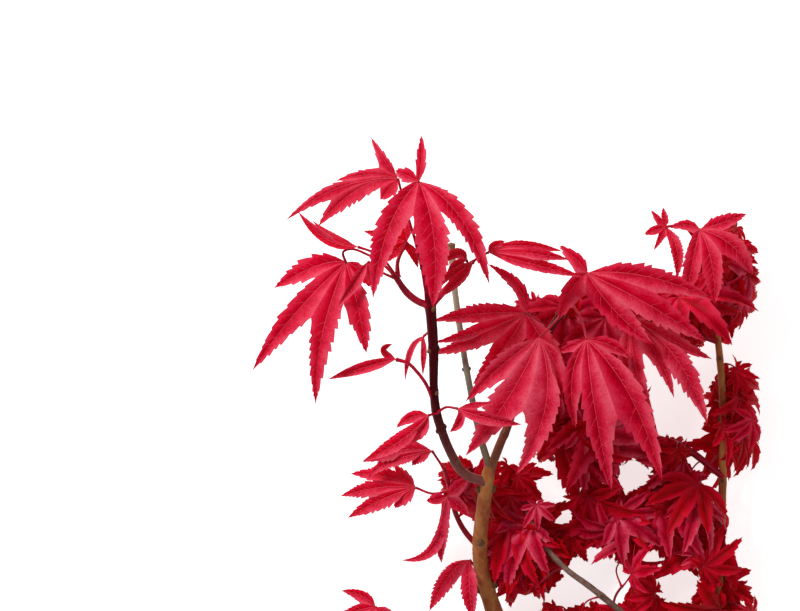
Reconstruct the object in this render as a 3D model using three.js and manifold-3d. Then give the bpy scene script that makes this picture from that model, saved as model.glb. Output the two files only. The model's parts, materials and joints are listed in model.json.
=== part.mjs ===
// A cut branch of a red Japanese maple, lying on a level surface.
// Millimetres. X runs to the right and Y along the branch towards its tip. Z is up, out of the surface.
// The drawing has its own origin, and the last lines move it to the middle of the branch's underside.

import * as THREE from "three";
import { mergeVertices } from "three/addons/utils/BufferGeometryUtils.js";
import Module from "manifold-3d";

const wasm = await Module();
wasm.setup();

// Driving dimensions
const GAP = 0.3; // clear space between one piece and the next
const SLIVER = 0.04; // faces narrower than this are merged with their neighbours
const BLADE_THICKNESS = 0.8; // leaf blade at its midrib
const BLADE_RISE = 0.2; // how far a lobe's edges stand above its midrib, as a share of its half width
const STALK_RADIUS = 0.6; // leaf stalk
const STALK_SIDES = 3;
const STEM_SIDES = 6; // the stem and the shoots
const TWIG_SIDES = 4; // the thinner twigs
const TWIG_STEP = 13; // length of a limb between two of its rings
const MASS_DETAIL = 1; // how often a ball's faces are divided to make a mass of foliage
const MASS_UNEVENNESS = 0.22; // depth of a mass's hollows, as a share of its radius
const WAVES = 5; // random waves that shape a mass

const BARK = {
  old: { color: 0x7a5a34, roughness: 0.75 },
  young: { color: 0x3c1418, roughness: 0.5 },
  grey: { color: 0x9a9a86, roughness: 0.85 },
};
const LEAF = { color: 0xc8102e, roughness: 0.45 };
const SHADED_LEAF = { color: 0x8e0a1c, roughness: 0.5 };

// Limbs, each as [x, y, z, radius] from foot to tip. They start inside the limb that carries them.
const LIMBS = {
  main_stem: {
    bark: "old",
    sides: STEM_SIDES,
    line: [
      [38, -134, 3.3, 3.3],
      [36.8, -123, 4.4, 3.2],
      [34.7, -112, 7.5, 3.1],
      [31, -101, 14, 3],
      [27.6, -90, 22, 2.7],
      [27, -80, 29, 2.6],
      [28, -69, 37, 2.5],
      [29.5, -58, 45, 2.4],
      [30.2, -54, 47, 1.9],
    ],
  },
  leading_shoot: {
    bark: "young",
    sides: STEM_SIDES,
    line: [
      [29, -59.5, 44.5, 1.7],
      [21.5, -56.5, 49, 1.7],
      [17.3, -50, 54, 1.6],
      [14, -42, 60.5, 1.6],
      [12, -35, 65, 1.7],
      [11.3, -27, 69, 1.5],
      [11.2, -15, 73, 1.8],
      [10.6, -6, 76, 1.9],
      [10, 0, 78, 2],
      [8.9, 4.5, 80, 0.9],
      [7.6, 11.5, 81, 0.7],
      [6, 19, 82, 0.7],
    ],
  },
  right_shoot: {
    bark: "young",
    sides: STEM_SIDES,
    line: [
      [30, -57, 46, 1.6],
      [32.7, -49, 48.5, 1.6],
      [36, -41, 49, 1.5],
      [39.5, -31, 48.5, 1.4],
      [44, -20, 47.5, 1.3],
      [50, -9, 47, 1.3],
      [56, 0, 47.5, 1.2],
      [62, 8, 50, 1],
    ],
  },
  bare_leader: {
    bark: "grey",
    sides: TWIG_SIDES,
    line: [
      [30.2, -54.5, 47, 1.3],
      [27, -44, 46.5, 1.2],
      [23.4, -27, 45, 1.1],
      [21, -13, 44.5, 1.1],
      [18.7, 3, 45.5, 1.1],
      [17.6, 14, 47.5, 1.2],
      [17.2, 20.7, 49, 1.5],
    ],
  },
  right_bough: {
    bark: "old",
    sides: TWIG_SIDES,
    line: [
      [35, -113, 7, 2.3],
      [48, -118.5, 6, 2.2],
      [64, -116, 8, 2.1],
      [82, -110, 11, 2],
      [98, -106, 13, 1.8],
      [107, -97, 15, 1.7],
      [109, -80, 16, 1.6],
    ],
  },
  right_bough_tip: {
    bark: "old",
    sides: TWIG_SIDES,
    line: [
      [109, -81, 16, 1.5],
      [109.5, -56, 17, 1.4],
      [109.5, -34, 19, 1.3],
      [107.5, -10, 22, 1.2],
      [103.5, 12, 28, 1.1],
      [99, 24, 35, 0.9],
    ],
  },
  inward_twig: {
    bark: "old",
    sides: TWIG_SIDES,
    line: [
      [83, -110, 11, 1.3],
      [74, -103, 17, 1.2],
      [64, -95, 23, 1.1],
      [56, -89, 26, 1],
      [48, -80, 27, 0.9],
      [42, -68, 26, 0.7],
    ],
  },
  centre_twig: {
    bark: "young",
    sides: TWIG_SIDES,
    line: [
      [109, -82, 16, 1.4],
      [96, -75, 18, 1.3],
      [81, -75, 20, 1.1],
      [70, -68, 19, 1],
      [64, -58, 17, 0.8],
    ],
  },
  middle_twig: {
    bark: "young",
    sides: TWIG_SIDES,
    line: [
      [109.5, -58, 17, 1.3],
      [96, -48, 21, 1.2],
      [84, -44, 22, 1.1],
      [72, -41, 22, 0.9],
      [62, -35, 20, 0.8],
    ],
  },
  upper_twig: {
    bark: "young",
    sides: TWIG_SIDES,
    line: [
      [107.4, -12, 22, 1.2],
      [94, -8, 25, 1.1],
      [80, -6, 27, 1],
      [66, -6, 28, 0.9],
      [54, -4, 28, 0.8],
    ],
  },
  left_twig: {
    bark: "young",
    sides: TWIG_SIDES,
    line: [
      [26.8, -82, 28, 1.1],
      [21.7, -76, 30, 1],
      [18.7, -70, 32.5, 0.9],
      [16.8, -62, 36, 0.8],
      [14.8, -54.5, 40, 0.7],
    ],
  },
  lower_left_twig: {
    bark: "young",
    sides: TWIG_SIDES,
    line: [
      [34, -110, 8.5, 1.4],
      [24, -114, 9, 1.2],
      [12, -115, 9.5, 1.1],
      [1, -110, 10.5, 0.9],
      [-6, -104, 12, 0.8],
    ],
  },
  left_side_shoot: {
    bark: "young",
    sides: TWIG_SIDES,
    line: [
      [10, -0.3, 78, 1.3],
      [5.5, 1.7, 79.5, 1.3],
      [2, 4.6, 81, 1.3],
      [-1, 8.8, 82.5, 1],
    ],
  },
  right_side_shoot: {
    bark: "young",
    sides: TWIG_SIDES,
    line: [
      [10.5, 0, 78, 1.2],
      [14.5, 4.5, 79.5, 1.2],
      [19, 9.5, 80.5, 1.1],
      [24, 14.4, 81.5, 0.8],
    ],
  },
};

// Single leaves. The stalk runs from a limb to the point where the lobes meet.
// Each lobe is [a point half way along it, its tip, its half width].
const LEAVES = {
  crown_leaf_front: {
    stalk: [[6.3, 18, 82], [6, 31, 86]],
    base: [6.3, 41.2, 89.5],
    lobes: [
      [[-3.7, 25.8, 92.5], [-9, 2.2, 91], 3.9],
      [[11.3, 21.8, 93.5], [10.8, -0.8, 89], 5.3],
      [[20.4, 28.8, 92], [29.8, 6.8, 87], 3],
      [[7.2, 49.2, 91.5], [7, 56.9, 91], 1.6],
      [[2.8, 43, 90], [-1.6, 44.9, 89], 2.4],
    ],
  },
  crown_leaf_left: {
    stalk: [[6, 18.5, 82], [2, 32, 83]],
    base: [-0.7, 42.2, 85],
    lobes: [
      [[-20.4, 39.1, 85.5], [-38.2, 28.2, 81], 2.2],
      [[-14.4, 38.4, 84.5], [-27.4, 26.2, 80], 3.1],
      [[-3.6, 39, 85], [-6.6, 35.2, 84], 2.7],
      [[-5.5, 48.7, 87], [-9.7, 56.2, 87], 1.5],
      [[-10.5, 43.5, 86], [-21.5, 41.4, 84.5], 1.7],
    ],
  },
  left_leaf: {
    stalk: [[-1, 9, 82], [-6, 14, 82], [-11, 17, 82], [-16, 18.8, 82.5], [-19, 17.8, 83]],
    base: [-18, 14.2, 83],
    lobes: [
      [[-27.6, 13.2, 84], [-42, 5.8, 80], 3.4],
      [[-34.4, -2.1, 85], [-49.3, -21.8, 78], 3.6],
      [[-25.9, -9.8, 86], [-28.1, -33, 79], 3.6],
      [[-13.8, -1.5, 84], [-11.2, -16, 79], 3.6],
      [[-14, 12, 83], [-9.7, 6, 80], 2],
    ],
  },
  narrow_leaf_left: {
    stalk: [[-1, 9, 83], [-5, 14.8, 85.5], [-9, 17.7, 87]],
    base: [-14, 19.5, 87.5],
    lobes: [
      [[-24.9, 22.4, 88.5], [-34, 31.5, 87], 1.8],
      [[-22.5, 23.1, 87.5], [-29.4, 28.5, 86], 1.1],
    ],
  },
  folded_leaf_left: {
    stalk: [[-1, 8.8, 83], [-6, 11, 85.5]],
    base: [-10.7, 14.6, 87.2],
    lobes: [
      [[-15.3, 7.2, 88.6], [-20.7, -0.3, 87.5], 1.8],
      [[-9.6, 9.6, 87.3], [-8.8, 5, 86.5], 1.2],
    ],
  },
  inner_leaf: {
    stalk: [[-0.8, 9.4, 82], [-0.7, 15, 81]],
    base: [2.3, 21.2, 80],
    lobes: [
      [[-5, 23.3, 79], [-12.3, 24.8, 78], 1.9],
      [[-1.2, 18.4, 78.5], [-4, 14.5, 77], 1.8],
      [[4.4, 17.4, 79], [6, 12.4, 78], 1.3],
      [[1.5, 26, 80], [0.5, 31, 79], 2],
    ],
  },
  young_leaf_upper: {
    stalk: [[22.8, 13.4, 81.5]],
    base: [22.2, 15, 84],
    lobes: [
      [[18.7, 17.6, 85.5], [13.6, 13.8, 84.5], 1.7],
      [[19.4, 14.2, 84.5], [15.7, 11.4, 84], 1.2],
    ],
  },
  young_leaf_lower: {
    stalk: [[23.7, 14.2, 81.5]],
    base: [24.4, 14.2, 83.5],
    lobes: [
      [[19, 8.6, 83.5], [13.2, 2.4, 82.8], 2],
      [[16.6, 10.4, 83.5], [12.6, 4.6, 83], 1.4],
    ],
  },
  folded_leaf_right: {
    stalk: [[23.7, 14.2, 81.5], [27, 16.6, 82.5]],
    base: [29.5, 17.7, 83],
    lobes: [
      [[44.7, 13.6, 83], [61.5, 9.4, 78], 2.1],
      [[42.3, 17.4, 84.5], [56.6, 15.2, 81], 2.2],
      [[40, 20, 83], [54.4, 18, 80], 1.8],
      [[31.6, 19.8, 83.5], [35, 21.4, 83], 1.6],
    ],
  },
  faint_leaf_left: {
    stalk: [[10.5, -8, 75]],
    base: [8, -10.2, 72.5],
    lobes: [
      [[3.6, -15, 71.5], [1.7, -25.5, 69.5], 1],
      [[7.8, -17, 71.5], [7.6, -23.6, 70], 1],
    ],
  },
  pointing_leaf_left: {
    stalk: [[12, -34, 65.5], [8.5, -26, 70.5], [5.5, -22, 72], [2.7, -19.3, 72.8]],
    base: [-1.3, -18, 73],
    lobes: [
      [[-12.3, -20.8, 74], [-24.3, -24.8, 71.5], 1.9],
      [[-5.4, -15.2, 72.5], [-2.4, -12.8, 71], 1.3],
    ],
  },
  low_leaf_left: {
    stalk: [[12, -36, 65]],
    base: [9.5, -36.8, 68.5],
    lobes: [
      [[0.8, -44.8, 69], [-12.8, -52.3, 64], 2.6],
      [[4, -37.4, 69], [-1.3, -41, 67.5], 1.8],
      [[7, -41, 67], [1.4, -46.6, 64], 2.5],
    ],
  },
  folded_leaf_low: {
    stalk: [[12.2, -36, 65.5], [15.5, -34, 68.5]],
    base: [19.3, -34.5, 69.5],
    lobes: [
      [[29, -37.6, 71], [40.7, -39.8, 68.5], 2.1],
      [[25, -33.3, 70], [32.3, -32.6, 69], 0.9],
      [[20.3, -38.3, 69], [16.6, -42.3, 68], 1.8],
    ],
  },
  leaf_behind_shoot: {
    stalk: [[50, -9, 47], [47, -5.5, 51]],
    base: [42, -2.5, 55],
    lobes: [
      [[26.8, -2.8, 56], [10.8, -5.2, 53], 3],
      [[26.4, -8.8, 55], [11.4, -12.4, 52], 2.4],
      [[21.2, -13.1, 53], [9.8, -15.4, 51], 2.9],
      [[35.7, -13.2, 54], [24.4, -26.5, 51.5], 3.3],
      [[39.8, 5.8, 57], [29.3, 14, 56], 1.9],
      [[49.3, -14, 54], [57, -27.5, 50], 3.2],
    ],
  },
  large_leaf_middle: {
    stalk: [[55.5, -1, 47.5], [52.5, -5, 54]],
    base: [46.7, -10.8, 61],
    lobes: [
      [[33.3, -20.8, 61.5], [22, -32.2, 57], 3.2],
      [[37, -29.8, 62], [22, -50.5, 56], 5.1],
      [[48.8, -33.2, 63], [38.8, -57, 57], 4.2],
      [[52, -19.8, 60], [54.3, -31.5, 57], 2.6],
    ],
  },
  large_leaf_right: {
    stalk: [[57, 1.5, 48], [60.5, -4, 54]],
    base: [62.7, -11.5, 61.5],
    lobes: [
      [[65.3, -34.8, 64], [71, -62.2, 58], 4.3],
      [[77.3, -30.8, 63], [88, -58.8, 58], 4.8],
      [[57.7, -24, 61], [59, -41.5, 57], 2.8],
      [[58.3, -13.4, 61], [53.4, -15.6, 60], 1.8],
      [[70, -13.2, 61.5], [77.3, -17.5, 60], 2.2],
    ],
  },
  arching_leaf_right: {
    stalk: [[62, 8, 50], [63, 10, 57]],
    base: [62.7, 10.8, 64],
    lobes: [
      [[82.7, 9.7, 66], [105.3, 1.8, 60], 3.6],
      [[83.3, 0.2, 65], [102.7, -12.2, 58], 4.5],
      [[71.7, -1.5, 64.5], [85, -13.2, 62.5], 4],
      [[57.3, 5.2, 63], [53.3, -4.8, 60], 3],
      [[59.4, 15, 65.5], [53.3, 20.2, 65], 2.1],
    ],
  },
  outer_leaf_right: {
    stalk: [[61.5, 7.4, 49.5], [70, 3, 50]],
    base: [77.3, -4.2, 53],
    lobes: [
      [[92.3, -17.2, 54], [103.5, -40, 47], 3.9],
      [[94, -13, 52], [105, -18, 49], 2.6],
      [[79.6, -22.5, 52], [86.8, -43, 46], 2.3],
      [[86.6, -17.2, 51], [92.2, -31.2, 47], 2.4],
      [[76, -17, 52], [74, -28.2, 49], 3],
    ],
  },
  far_leaf_upper_right: {
    stalk: [[99.2, 23.4, 36], [95, 27, 38.5]],
    base: [89.6, 26.5, 40],
    lobes: [
      [[87, 29.2, 41], [84.6, 32.2, 41], 1.1],
      [[89.2, 29.8, 41.5], [88.6, 33.2, 42.5], 1.2],
      [[86.2, 25.4, 40.5], [82.4, 24, 39], 1.6],
      [[93.4, 18.5, 40], [93.2, 8.8, 37], 1.9],
      [[87.6, 22.2, 39], [85.6, 18.6, 37], 0.9],
    ],
  },
  edge_leaf_upper_right: {
    stalk: [[99, 23.8, 36]],
    base: [101, 25.6, 42.5],
    lobes: [
      [[98.4, 14, 43], [96.3, 2.5, 38], 2.9],
      [[105, 14, 44], [106, 0, 38], 3.4],
      [[112, 20, 43], [119, 10, 37], 3.3],
      [[109, 28, 43], [117, 31, 40], 2.4],
      [[96, 27.2, 43], [91, 26, 42], 1.6],
    ],
  },
  back_leaf_low_left: {
    stalk: [[14.8, -55, 40]],
    base: [10.8, -49, 45],
    lobes: [
      [[-0.2, -48.8, 46], [-12.6, -52.8, 43], 3],
      [[-3.5, -52.6, 44], [-10.7, -58.4, 41], 2.4],
      [[7, -50.8, 44], [4, -54, 42.5], 1.9],
    ],
  },
  star_leaf_low_left: {
    stalk: [[16.8, -62.5, 36], [11, -63.5, 36.5]],
    base: [5.3, -61.5, 36],
    lobes: [
      [[-5, -57.8, 37], [-16.8, -56.8, 34], 2.7],
      [[-6.7, -61.4, 37], [-20.2, -64.4, 33], 3.1],
      [[-5, -65, 36], [-17.8, -71.8, 32], 2.9],
      [[0.7, -65.3, 36], [-1.7, -68.5, 34], 2.2],
      [[1, -57.5, 36.5], [-1.7, -53.4, 35.5], 2],
    ],
  },
  hanging_leaf_low_left: {
    stalk: [[17.6, -66.5, 34]],
    base: [15.8, -64.5, 38.5],
    lobes: [
      [[13.8, -74, 38], [14, -87, 33], 2.7],
      [[12, -81.2, 36], [0.2, -86, 31], 2],
      [[12.6, -65.4, 38.5], [8.8, -65.8, 38], 2],
      [[20, -67.5, 38], [23.3, -71.5, 37.5], 1.9],
      [[20.5, -60.5, 39.5], [23, -57, 39.5], 2.2],
    ],
  },
  arching_leaf_low: {
    stalk: [[28, -92, 21]],
    base: [23.6, -86.2, 23.5],
    lobes: [
      [[16.9, -91.3, 22], [9.9, -103.8, 17], 2.7],
      [[23.5, -95, 25.5], [24.8, -107.5, 22], 2.6],
    ],
  },
  tip_leaf_low_left: {
    stalk: [[-5.5, -104.5, 12]],
    base: [-8.3, -102.4, 14.5],
    lobes: [
      [[-12.9, -98.6, 15.5], [-20, -96.8, 14], 1.8],
      [[-15.4, -104, 13.5], [-21.8, -108, 8], 2],
      [[-12, -108.5, 12.5], [-14.6, -116, 5], 2],
      [[-3.8, -105, 14.5], [-1.2, -110, 12.5], 1.5],
    ],
  },
};

// Masses of foliage: centre, radii, and a seed that gives each its own uneven shape.
const MASSES = {
  foliage_upper_middle: { centre: [50, -4, 28], radii: [10.5, 8.5, 11], seed: 1 },
  foliage_upper: { centre: [68, -6, 28], radii: [13, 10, 13], seed: 2 },
  foliage_upper_right: { centre: [90, -5, 25], radii: [13.5, 9.5, 14], seed: 3 },
  foliage_edge_upper: { centre: [110, 9, 16], radii: [11, 16, 16], seed: 4 },
  foliage_middle: { centre: [61.5, -36.5, 20], radii: [13, 20, 15], seed: 5 },
  foliage_middle_low: { centre: [48.5, -47.5, 22], radii: [7.5, 6.5, 9], seed: 21 },
  foliage_middle_right: { centre: [80, -40, 20], radii: [8.5, 11.5, 13], seed: 6 },
  foliage_edge_middle: { centre: [94.5, -56.5, 22], radii: [9, 13, 14], seed: 7 },
  foliage_below_fork: { centre: [39.5, -66.5, 24], radii: [10.5, 14.5, 13], seed: 8 },
  foliage_centre: { centre: [66.5, -70.5, 20], radii: [13.5, 17, 13], seed: 9 },
  foliage_lower_centre: { centre: [83, -73.5, 18], radii: [11, 14, 12], seed: 11 },
  foliage_right: { centre: [101.5, -76, 22], radii: [8, 13.5, 12], seed: 12 },
  foliage_edge_outer: { centre: [113, -36, 16], radii: [8, 17, 14], seed: 22 },
  foliage_stem_side: { centre: [46, -86.5, 15], radii: [14.5, 17.5, 13], seed: 13 },
  foliage_at_bough: { centre: [81.5, -98, 12], radii: [7, 10, 10], seed: 14 },
  foliage_corner: { centre: [108.5, -99, 13], radii: [9.5, 13, 13], seed: 15 },
  foliage_bottom: { centre: [60, -113, 10], radii: [17, 14.5, 10], seed: 16 },
  foliage_bottom_right: { centre: [88, -117, 10], radii: [14, 10, 10], seed: 17 },
  foliage_left: { centre: [20.2, -62, 17], radii: [6.5, 8, 18], seed: 18 },
  foliage_lower_left: { centre: [13, -121, 7], radii: [16, 8.5, 7.5], seed: 20 },
};

function vector([x, y, z]) {
  return new THREE.Vector3(x, y, z);
}

// A closed geometry as a solid that can be joined and cut.
function solidFrom(geometry) {
  geometry.deleteAttribute("normal");
  geometry.deleteAttribute("uv");
  const merged = mergeVertices(geometry, 1e-4);
  const mesh = new wasm.Mesh({
    numProp: 3,
    vertProperties: merged.attributes.position.array,
    triVerts: new Uint32Array(merged.index.array),
  });
  return new wasm.Manifold(mesh);
}

// A skin over rings of equal length, closed by a flat end on the first ring and one on the last,
// or by a point after it.
function skin(rings, point) {
  const count = rings[0].length;
  const faces = [];
  for (let k = 0; k + 1 < rings.length; k++)
    for (let i = 0; i < count; i++) {
      const a = k * count + i;
      const b = k * count + ((i + 1) % count);
      faces.push(a, b, b + count, a, b + count, a + count);
    }
  const last = (rings.length - 1) * count;
  for (let i = 1; i + 1 < count; i++) faces.push(0, i + 1, i);
  if (point) for (let i = 0; i < count; i++) faces.push(last + i, last + ((i + 1) % count), last + count);
  else for (let i = 1; i + 1 < count; i++) faces.push(last, last + i, last + i + 1);
  const points = point ? [...rings.flat(), point] : rings.flat();
  return solidFrom(new THREE.BufferGeometry().setFromPoints(points).setIndex(faces));
}

// The number at share t of the way through a list, read in a straight line between entries.
function between(list, t) {
  const at = t * (list.length - 1);
  const low = Math.min(Math.floor(at), list.length - 2);
  return THREE.MathUtils.lerp(list[low], list[low + 1], at - low);
}

// A round limb or stalk along a smooth line. Its foot is square to the direction given, or to the line.
function taperedTube(points, radii, sides, grow, foot) {
  const curve = new THREE.CatmullRomCurve3(points.map(vector), false, "centripetal");
  const steps = Math.max(points.length - 1, Math.round(curve.getLength() / TWIG_STEP));
  const across = new THREE.Vector3(0, 0, 1);
  const rings = [];
  for (let k = 0; k <= steps; k++) {
    const t = k / steps;
    const along = k === 0 && foot ? foot.clone() : curve.getTangent(t);
    const centre = curve.getPoint(t);
    if (k === 0) centre.addScaledVector(along, -grow);
    if (k === steps) centre.addScaledVector(along, grow);
    across.addScaledVector(along, -across.dot(along)).normalize();
    const other = new THREE.Vector3().crossVectors(along, across);
    const radius = between(radii, t) + grow;
    const corner = (i) => {
      const angle = ((i + 0.5) / sides) * 2 * Math.PI;
      const side = across.clone().multiplyScalar(Math.cos(angle));
      return side.addScaledVector(other, Math.sin(angle)).multiplyScalar(radius).add(centre);
    };
    rings.push(Array.from({ length: sides }, (_, i) => corner(i)));
  }
  return skin(rings);
}

// The main stem is cut square to Y at its foot.
function limb(name, grow) {
  const { line, sides } = LIMBS[name];
  const foot = name === "main_stem" ? new THREE.Vector3(0, 1, 0) : null;
  const points = line.map(([x, y, z]) => [x, y, z]);
  const radii = line.map(([, , , radius]) => radius);
  return taperedTube(points, radii, sides, grow, foot);
}

// Where a lobe has its rings: [share of its length, share of its half width].
const LARGE_LOBE = [
  [0, 0.5],
  [0.28, 0.94],
  [0.62, 0.88],
];
const SMALL_LOBE = [
  [0, 0.5],
  [0.45, 1],
];
const SMALL_BELOW = 2.7; // half width under which a lobe counts as small

// One lobe: a thin blade along a curve, with its edges raised above the midrib.
function lobe(base, [middle, tip, half], grow) {
  const start = vector(base);
  const end = vector(tip);
  const control = vector(middle).multiplyScalar(2).addScaledVector(start, -0.5).addScaledVector(end, -0.5);
  const spine = new THREE.QuadraticBezierCurve3(start, control, end);
  const thick = BLADE_THICKNESS / 2 + grow;
  const rings = (half < SMALL_BELOW ? SMALL_LOBE : LARGE_LOBE).map(([t, width]) => {
    const along = spine.getTangent(t);
    const side = new THREE.Vector3(along.y, -along.x, 0).normalize();
    const up = new THREE.Vector3().crossVectors(side, along);
    const centre = spine.getPoint(t);
    const edge = (way) =>
      centre
        .clone()
        .addScaledVector(side, way * (width * half + grow))
        .addScaledVector(up, BLADE_RISE * width * half);
    const rib = (way) => centre.clone().addScaledVector(up, way * thick);
    return [edge(-1), rib(1), edge(1), rib(-1)];
  });
  return skin(rings, end.addScaledVector(spine.getTangent(1), grow));
}

function leaf({ stalk, base, lobes }, grow) {
  const line = [...stalk, base];
  const joint = taperedTube(line, line.map(() => STALK_RADIUS), STALK_SIDES, grow);
  return lobes.reduce((joined, one) => joined.add(lobe(base, one, grow)), joint);
}

// Repeatable random numbers from 0 to 1.
function randomFrom(seed) {
  let state = seed * 7919;
  return () => {
    state = (state * 48271) % 2147483647;
    return state / 2147483647;
  };
}

// A mass of foliage: a ball drawn out to the mass's radii, with hollows and points made by a few
// random waves, and flat where it lies on the surface.
function mass({ centre, radii, seed }, grow) {
  const random = randomFrom(seed);
  const waves = Array.from({ length: WAVES }, () => ({
    way: vector([random() - 0.5, random() - 0.5, random() - 0.5]).normalize(),
    pitch: 2.5 + 3 * random(),
    phase: 2 * Math.PI * random(),
  }));
  const geometry = new THREE.IcosahedronGeometry(1, MASS_DETAIL);
  const position = geometry.attributes.position;
  const grown = vector(radii).addScalar(grow);
  const point = new THREE.Vector3();
  for (let i = 0; i < position.count; i++) {
    point.fromBufferAttribute(position, i).normalize();
    const height = waves.reduce((sum, w) => sum + Math.cos(w.pitch * point.dot(w.way) + w.phase), 0);
    point.multiplyScalar(1 + (MASS_UNEVENNESS * height) / Math.sqrt(WAVES)).multiply(grown);
    point.add(vector(centre));
    position.setXYZ(i, point.x, point.y, Math.max(point.z, 0));
  }
  return solidFrom(geometry);
}

// Each piece is cut clear of every piece placed before it, and keeps the largest body that is left.
const group = new THREE.Group();
const placed = [];

function place(name, make, look) {
  const solid = make(0);
  const clearance = make(GAP);
  const cut = placed.reduce((left, earlier) => left.subtract(earlier), solid);
  const bodies = cut.simplify(SLIVER).decompose();
  const body = bodies.reduce((most, one) => (one.volume() > most.volume() ? one : most));
  const { vertProperties, triVerts } = body.getMesh();
  const geometry = new THREE.BufferGeometry();
  geometry.setAttribute("position", new THREE.BufferAttribute(vertProperties, 3));
  geometry.setIndex(new THREE.BufferAttribute(triVerts, 1));
  geometry.computeVertexNormals();
  const mesh = new THREE.Mesh(geometry, new THREE.MeshStandardMaterial(look));
  mesh.name = name;
  group.add(mesh);
  placed.push(clearance);
}

for (const name of Object.keys(LIMBS)) place(name, (grow) => limb(name, grow), BARK[LIMBS[name].bark]);
for (const [name, parts] of Object.entries(LEAVES)) place(name, (grow) => leaf(parts, grow), LEAF);
for (const [name, size] of Object.entries(MASSES)) place(name, (grow) => mass(size, grow), SHADED_LEAF);

// The origin goes to the middle of the underside.
const bounds = new THREE.Box3().setFromObject(group);
const middle = bounds.getCenter(new THREE.Vector3());
group.position.set(-middle.x, -middle.y, -bounds.min.z);

export default group;
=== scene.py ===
"""A cut branch of a red Japanese maple on a pale floor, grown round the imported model.

Lengths are millimetres in the drawing's own frame, whose origin the photograph's middle looks down on.
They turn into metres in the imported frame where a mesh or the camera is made. The floor and the lamps are
in metres in that frame."""

import json
import math

import bpy
import numpy as np
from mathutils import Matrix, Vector


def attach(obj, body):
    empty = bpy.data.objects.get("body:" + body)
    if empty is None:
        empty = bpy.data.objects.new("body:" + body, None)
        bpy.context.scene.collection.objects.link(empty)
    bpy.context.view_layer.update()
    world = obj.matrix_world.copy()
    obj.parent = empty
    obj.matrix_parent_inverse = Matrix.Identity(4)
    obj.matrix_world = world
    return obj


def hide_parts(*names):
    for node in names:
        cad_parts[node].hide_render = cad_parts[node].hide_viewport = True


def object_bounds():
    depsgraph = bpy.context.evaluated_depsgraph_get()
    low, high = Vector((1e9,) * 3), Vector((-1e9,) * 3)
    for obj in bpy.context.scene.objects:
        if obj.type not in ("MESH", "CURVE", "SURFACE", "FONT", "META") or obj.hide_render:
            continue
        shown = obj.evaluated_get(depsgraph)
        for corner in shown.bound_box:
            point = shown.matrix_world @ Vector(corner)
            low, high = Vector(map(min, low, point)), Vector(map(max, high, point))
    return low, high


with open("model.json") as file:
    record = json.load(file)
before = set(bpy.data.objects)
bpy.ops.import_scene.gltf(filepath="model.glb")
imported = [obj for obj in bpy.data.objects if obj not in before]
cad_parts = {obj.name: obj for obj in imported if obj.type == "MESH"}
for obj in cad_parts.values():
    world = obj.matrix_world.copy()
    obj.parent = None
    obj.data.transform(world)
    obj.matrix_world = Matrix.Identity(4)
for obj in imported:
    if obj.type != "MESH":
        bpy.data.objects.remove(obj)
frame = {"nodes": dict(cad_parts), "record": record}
cad_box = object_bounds()

MM = 0.001
CUT_END = np.array([38, -134, 3.3])  # middle of the stem's cut foot in the drawing
mounts = {mount["name"]: mount for mount in frame["record"]["mounts"]}
SHIFT = np.array(mounts["cut_end"]["pos_m"]) / MM - CUT_END

# The photograph
PHOTO_WIDTH = 800
PIXELS_PER_MM = 3
LENS = 480
SENSOR = 36
FOCUS_HEIGHT = 80  # height of the sharpest leaves over the floor
DISTANCE = LENS / SENSOR * PHOTO_WIDTH / PIXELS_PER_MM  # from the camera to that height

LIMBS = {}


def add_limb(name, bark, *points):
    """A limb, with its points from foot to tip as [x, y, z, radius]."""
    LIMBS[name] = (bark, points)


add_limb("main_stem", "old_bark", [38, -134, 3.3, 3.3], [36.8, -123, 4.4, 3.2], [34.7, -112, 7.5, 3.1],
    [31, -101, 14, 3], [27.6, -90, 22, 2.7], [27, -80, 29, 2.6], [28, -69, 37, 2.5], [29.5, -58, 45, 2.4],
    [30.2, -54, 47, 1.9])
add_limb("leading_shoot", "young_bark", [29, -59.5, 44.5, 1.7], [21.5, -56.5, 49, 1.7],
    [17.3, -50, 54, 1.6], [14, -42, 60.5, 1.6], [12, -35, 65, 1.7], [11.3, -27, 69, 1.5],
    [11.2, -15, 73, 1.8], [10.6, -6, 76, 1.9], [10, 0, 78, 2], [8.9, 4.5, 80, 0.9], [7.6, 11.5, 81, 0.7],
    [6, 19, 82, 0.7])
add_limb("right_shoot", "young_bark", [30, -57, 46, 1.6], [32.7, -49, 48.5, 1.6], [36, -41, 49, 1.5],
    [39.5, -31, 48.5, 1.4], [44, -20, 47.5, 1.3], [50, -9, 47, 1.3], [56, 0, 47.5, 1.2], [62, 8, 50, 1])
add_limb("bare_leader", "grey_bark", [30.2, -54.5, 47, 1.3], [27, -44, 46.5, 1.2], [23.4, -27, 45, 1.1],
    [21, -13, 44.5, 1.1], [18.7, 3, 45.5, 1.1], [17.6, 14, 47.5, 1.2], [17.2, 20.7, 49, 1.5])
add_limb("right_bough", "old_bark", [35, -113, 7, 2.3], [48, -118.5, 6, 2.2], [64, -116, 8, 2.1],
    [82, -110, 11, 2], [98, -106, 13, 1.8], [107, -97, 15, 1.7], [109, -80, 16, 1.6])
add_limb("right_bough_tip", "old_bark", [109, -81, 16, 1.5], [109.5, -56, 17, 1.4], [109.5, -34, 19, 1.3],
    [107.5, -10, 22, 1.2], [103.5, 12, 28, 1.1], [99, 24, 35, 0.9])
add_limb("inward_twig", "old_bark", [83, -110, 11, 1.3], [74, -103, 17, 1.2], [64, -95, 23, 1.1],
    [56, -89, 26, 1], [48, -80, 27, 0.9], [42, -68, 26, 0.7])
add_limb("centre_twig", "young_bark", [109, -82, 16, 1.4], [96, -75, 18, 1.3], [81, -75, 20, 1.1],
    [70, -68, 19, 1], [64, -58, 17, 0.8])
add_limb("middle_twig", "young_bark", [109.5, -58, 17, 1.3], [96, -48, 21, 1.2], [84, -44, 22, 1.1],
    [72, -41, 22, 0.9], [62, -35, 20, 0.8])
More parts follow.
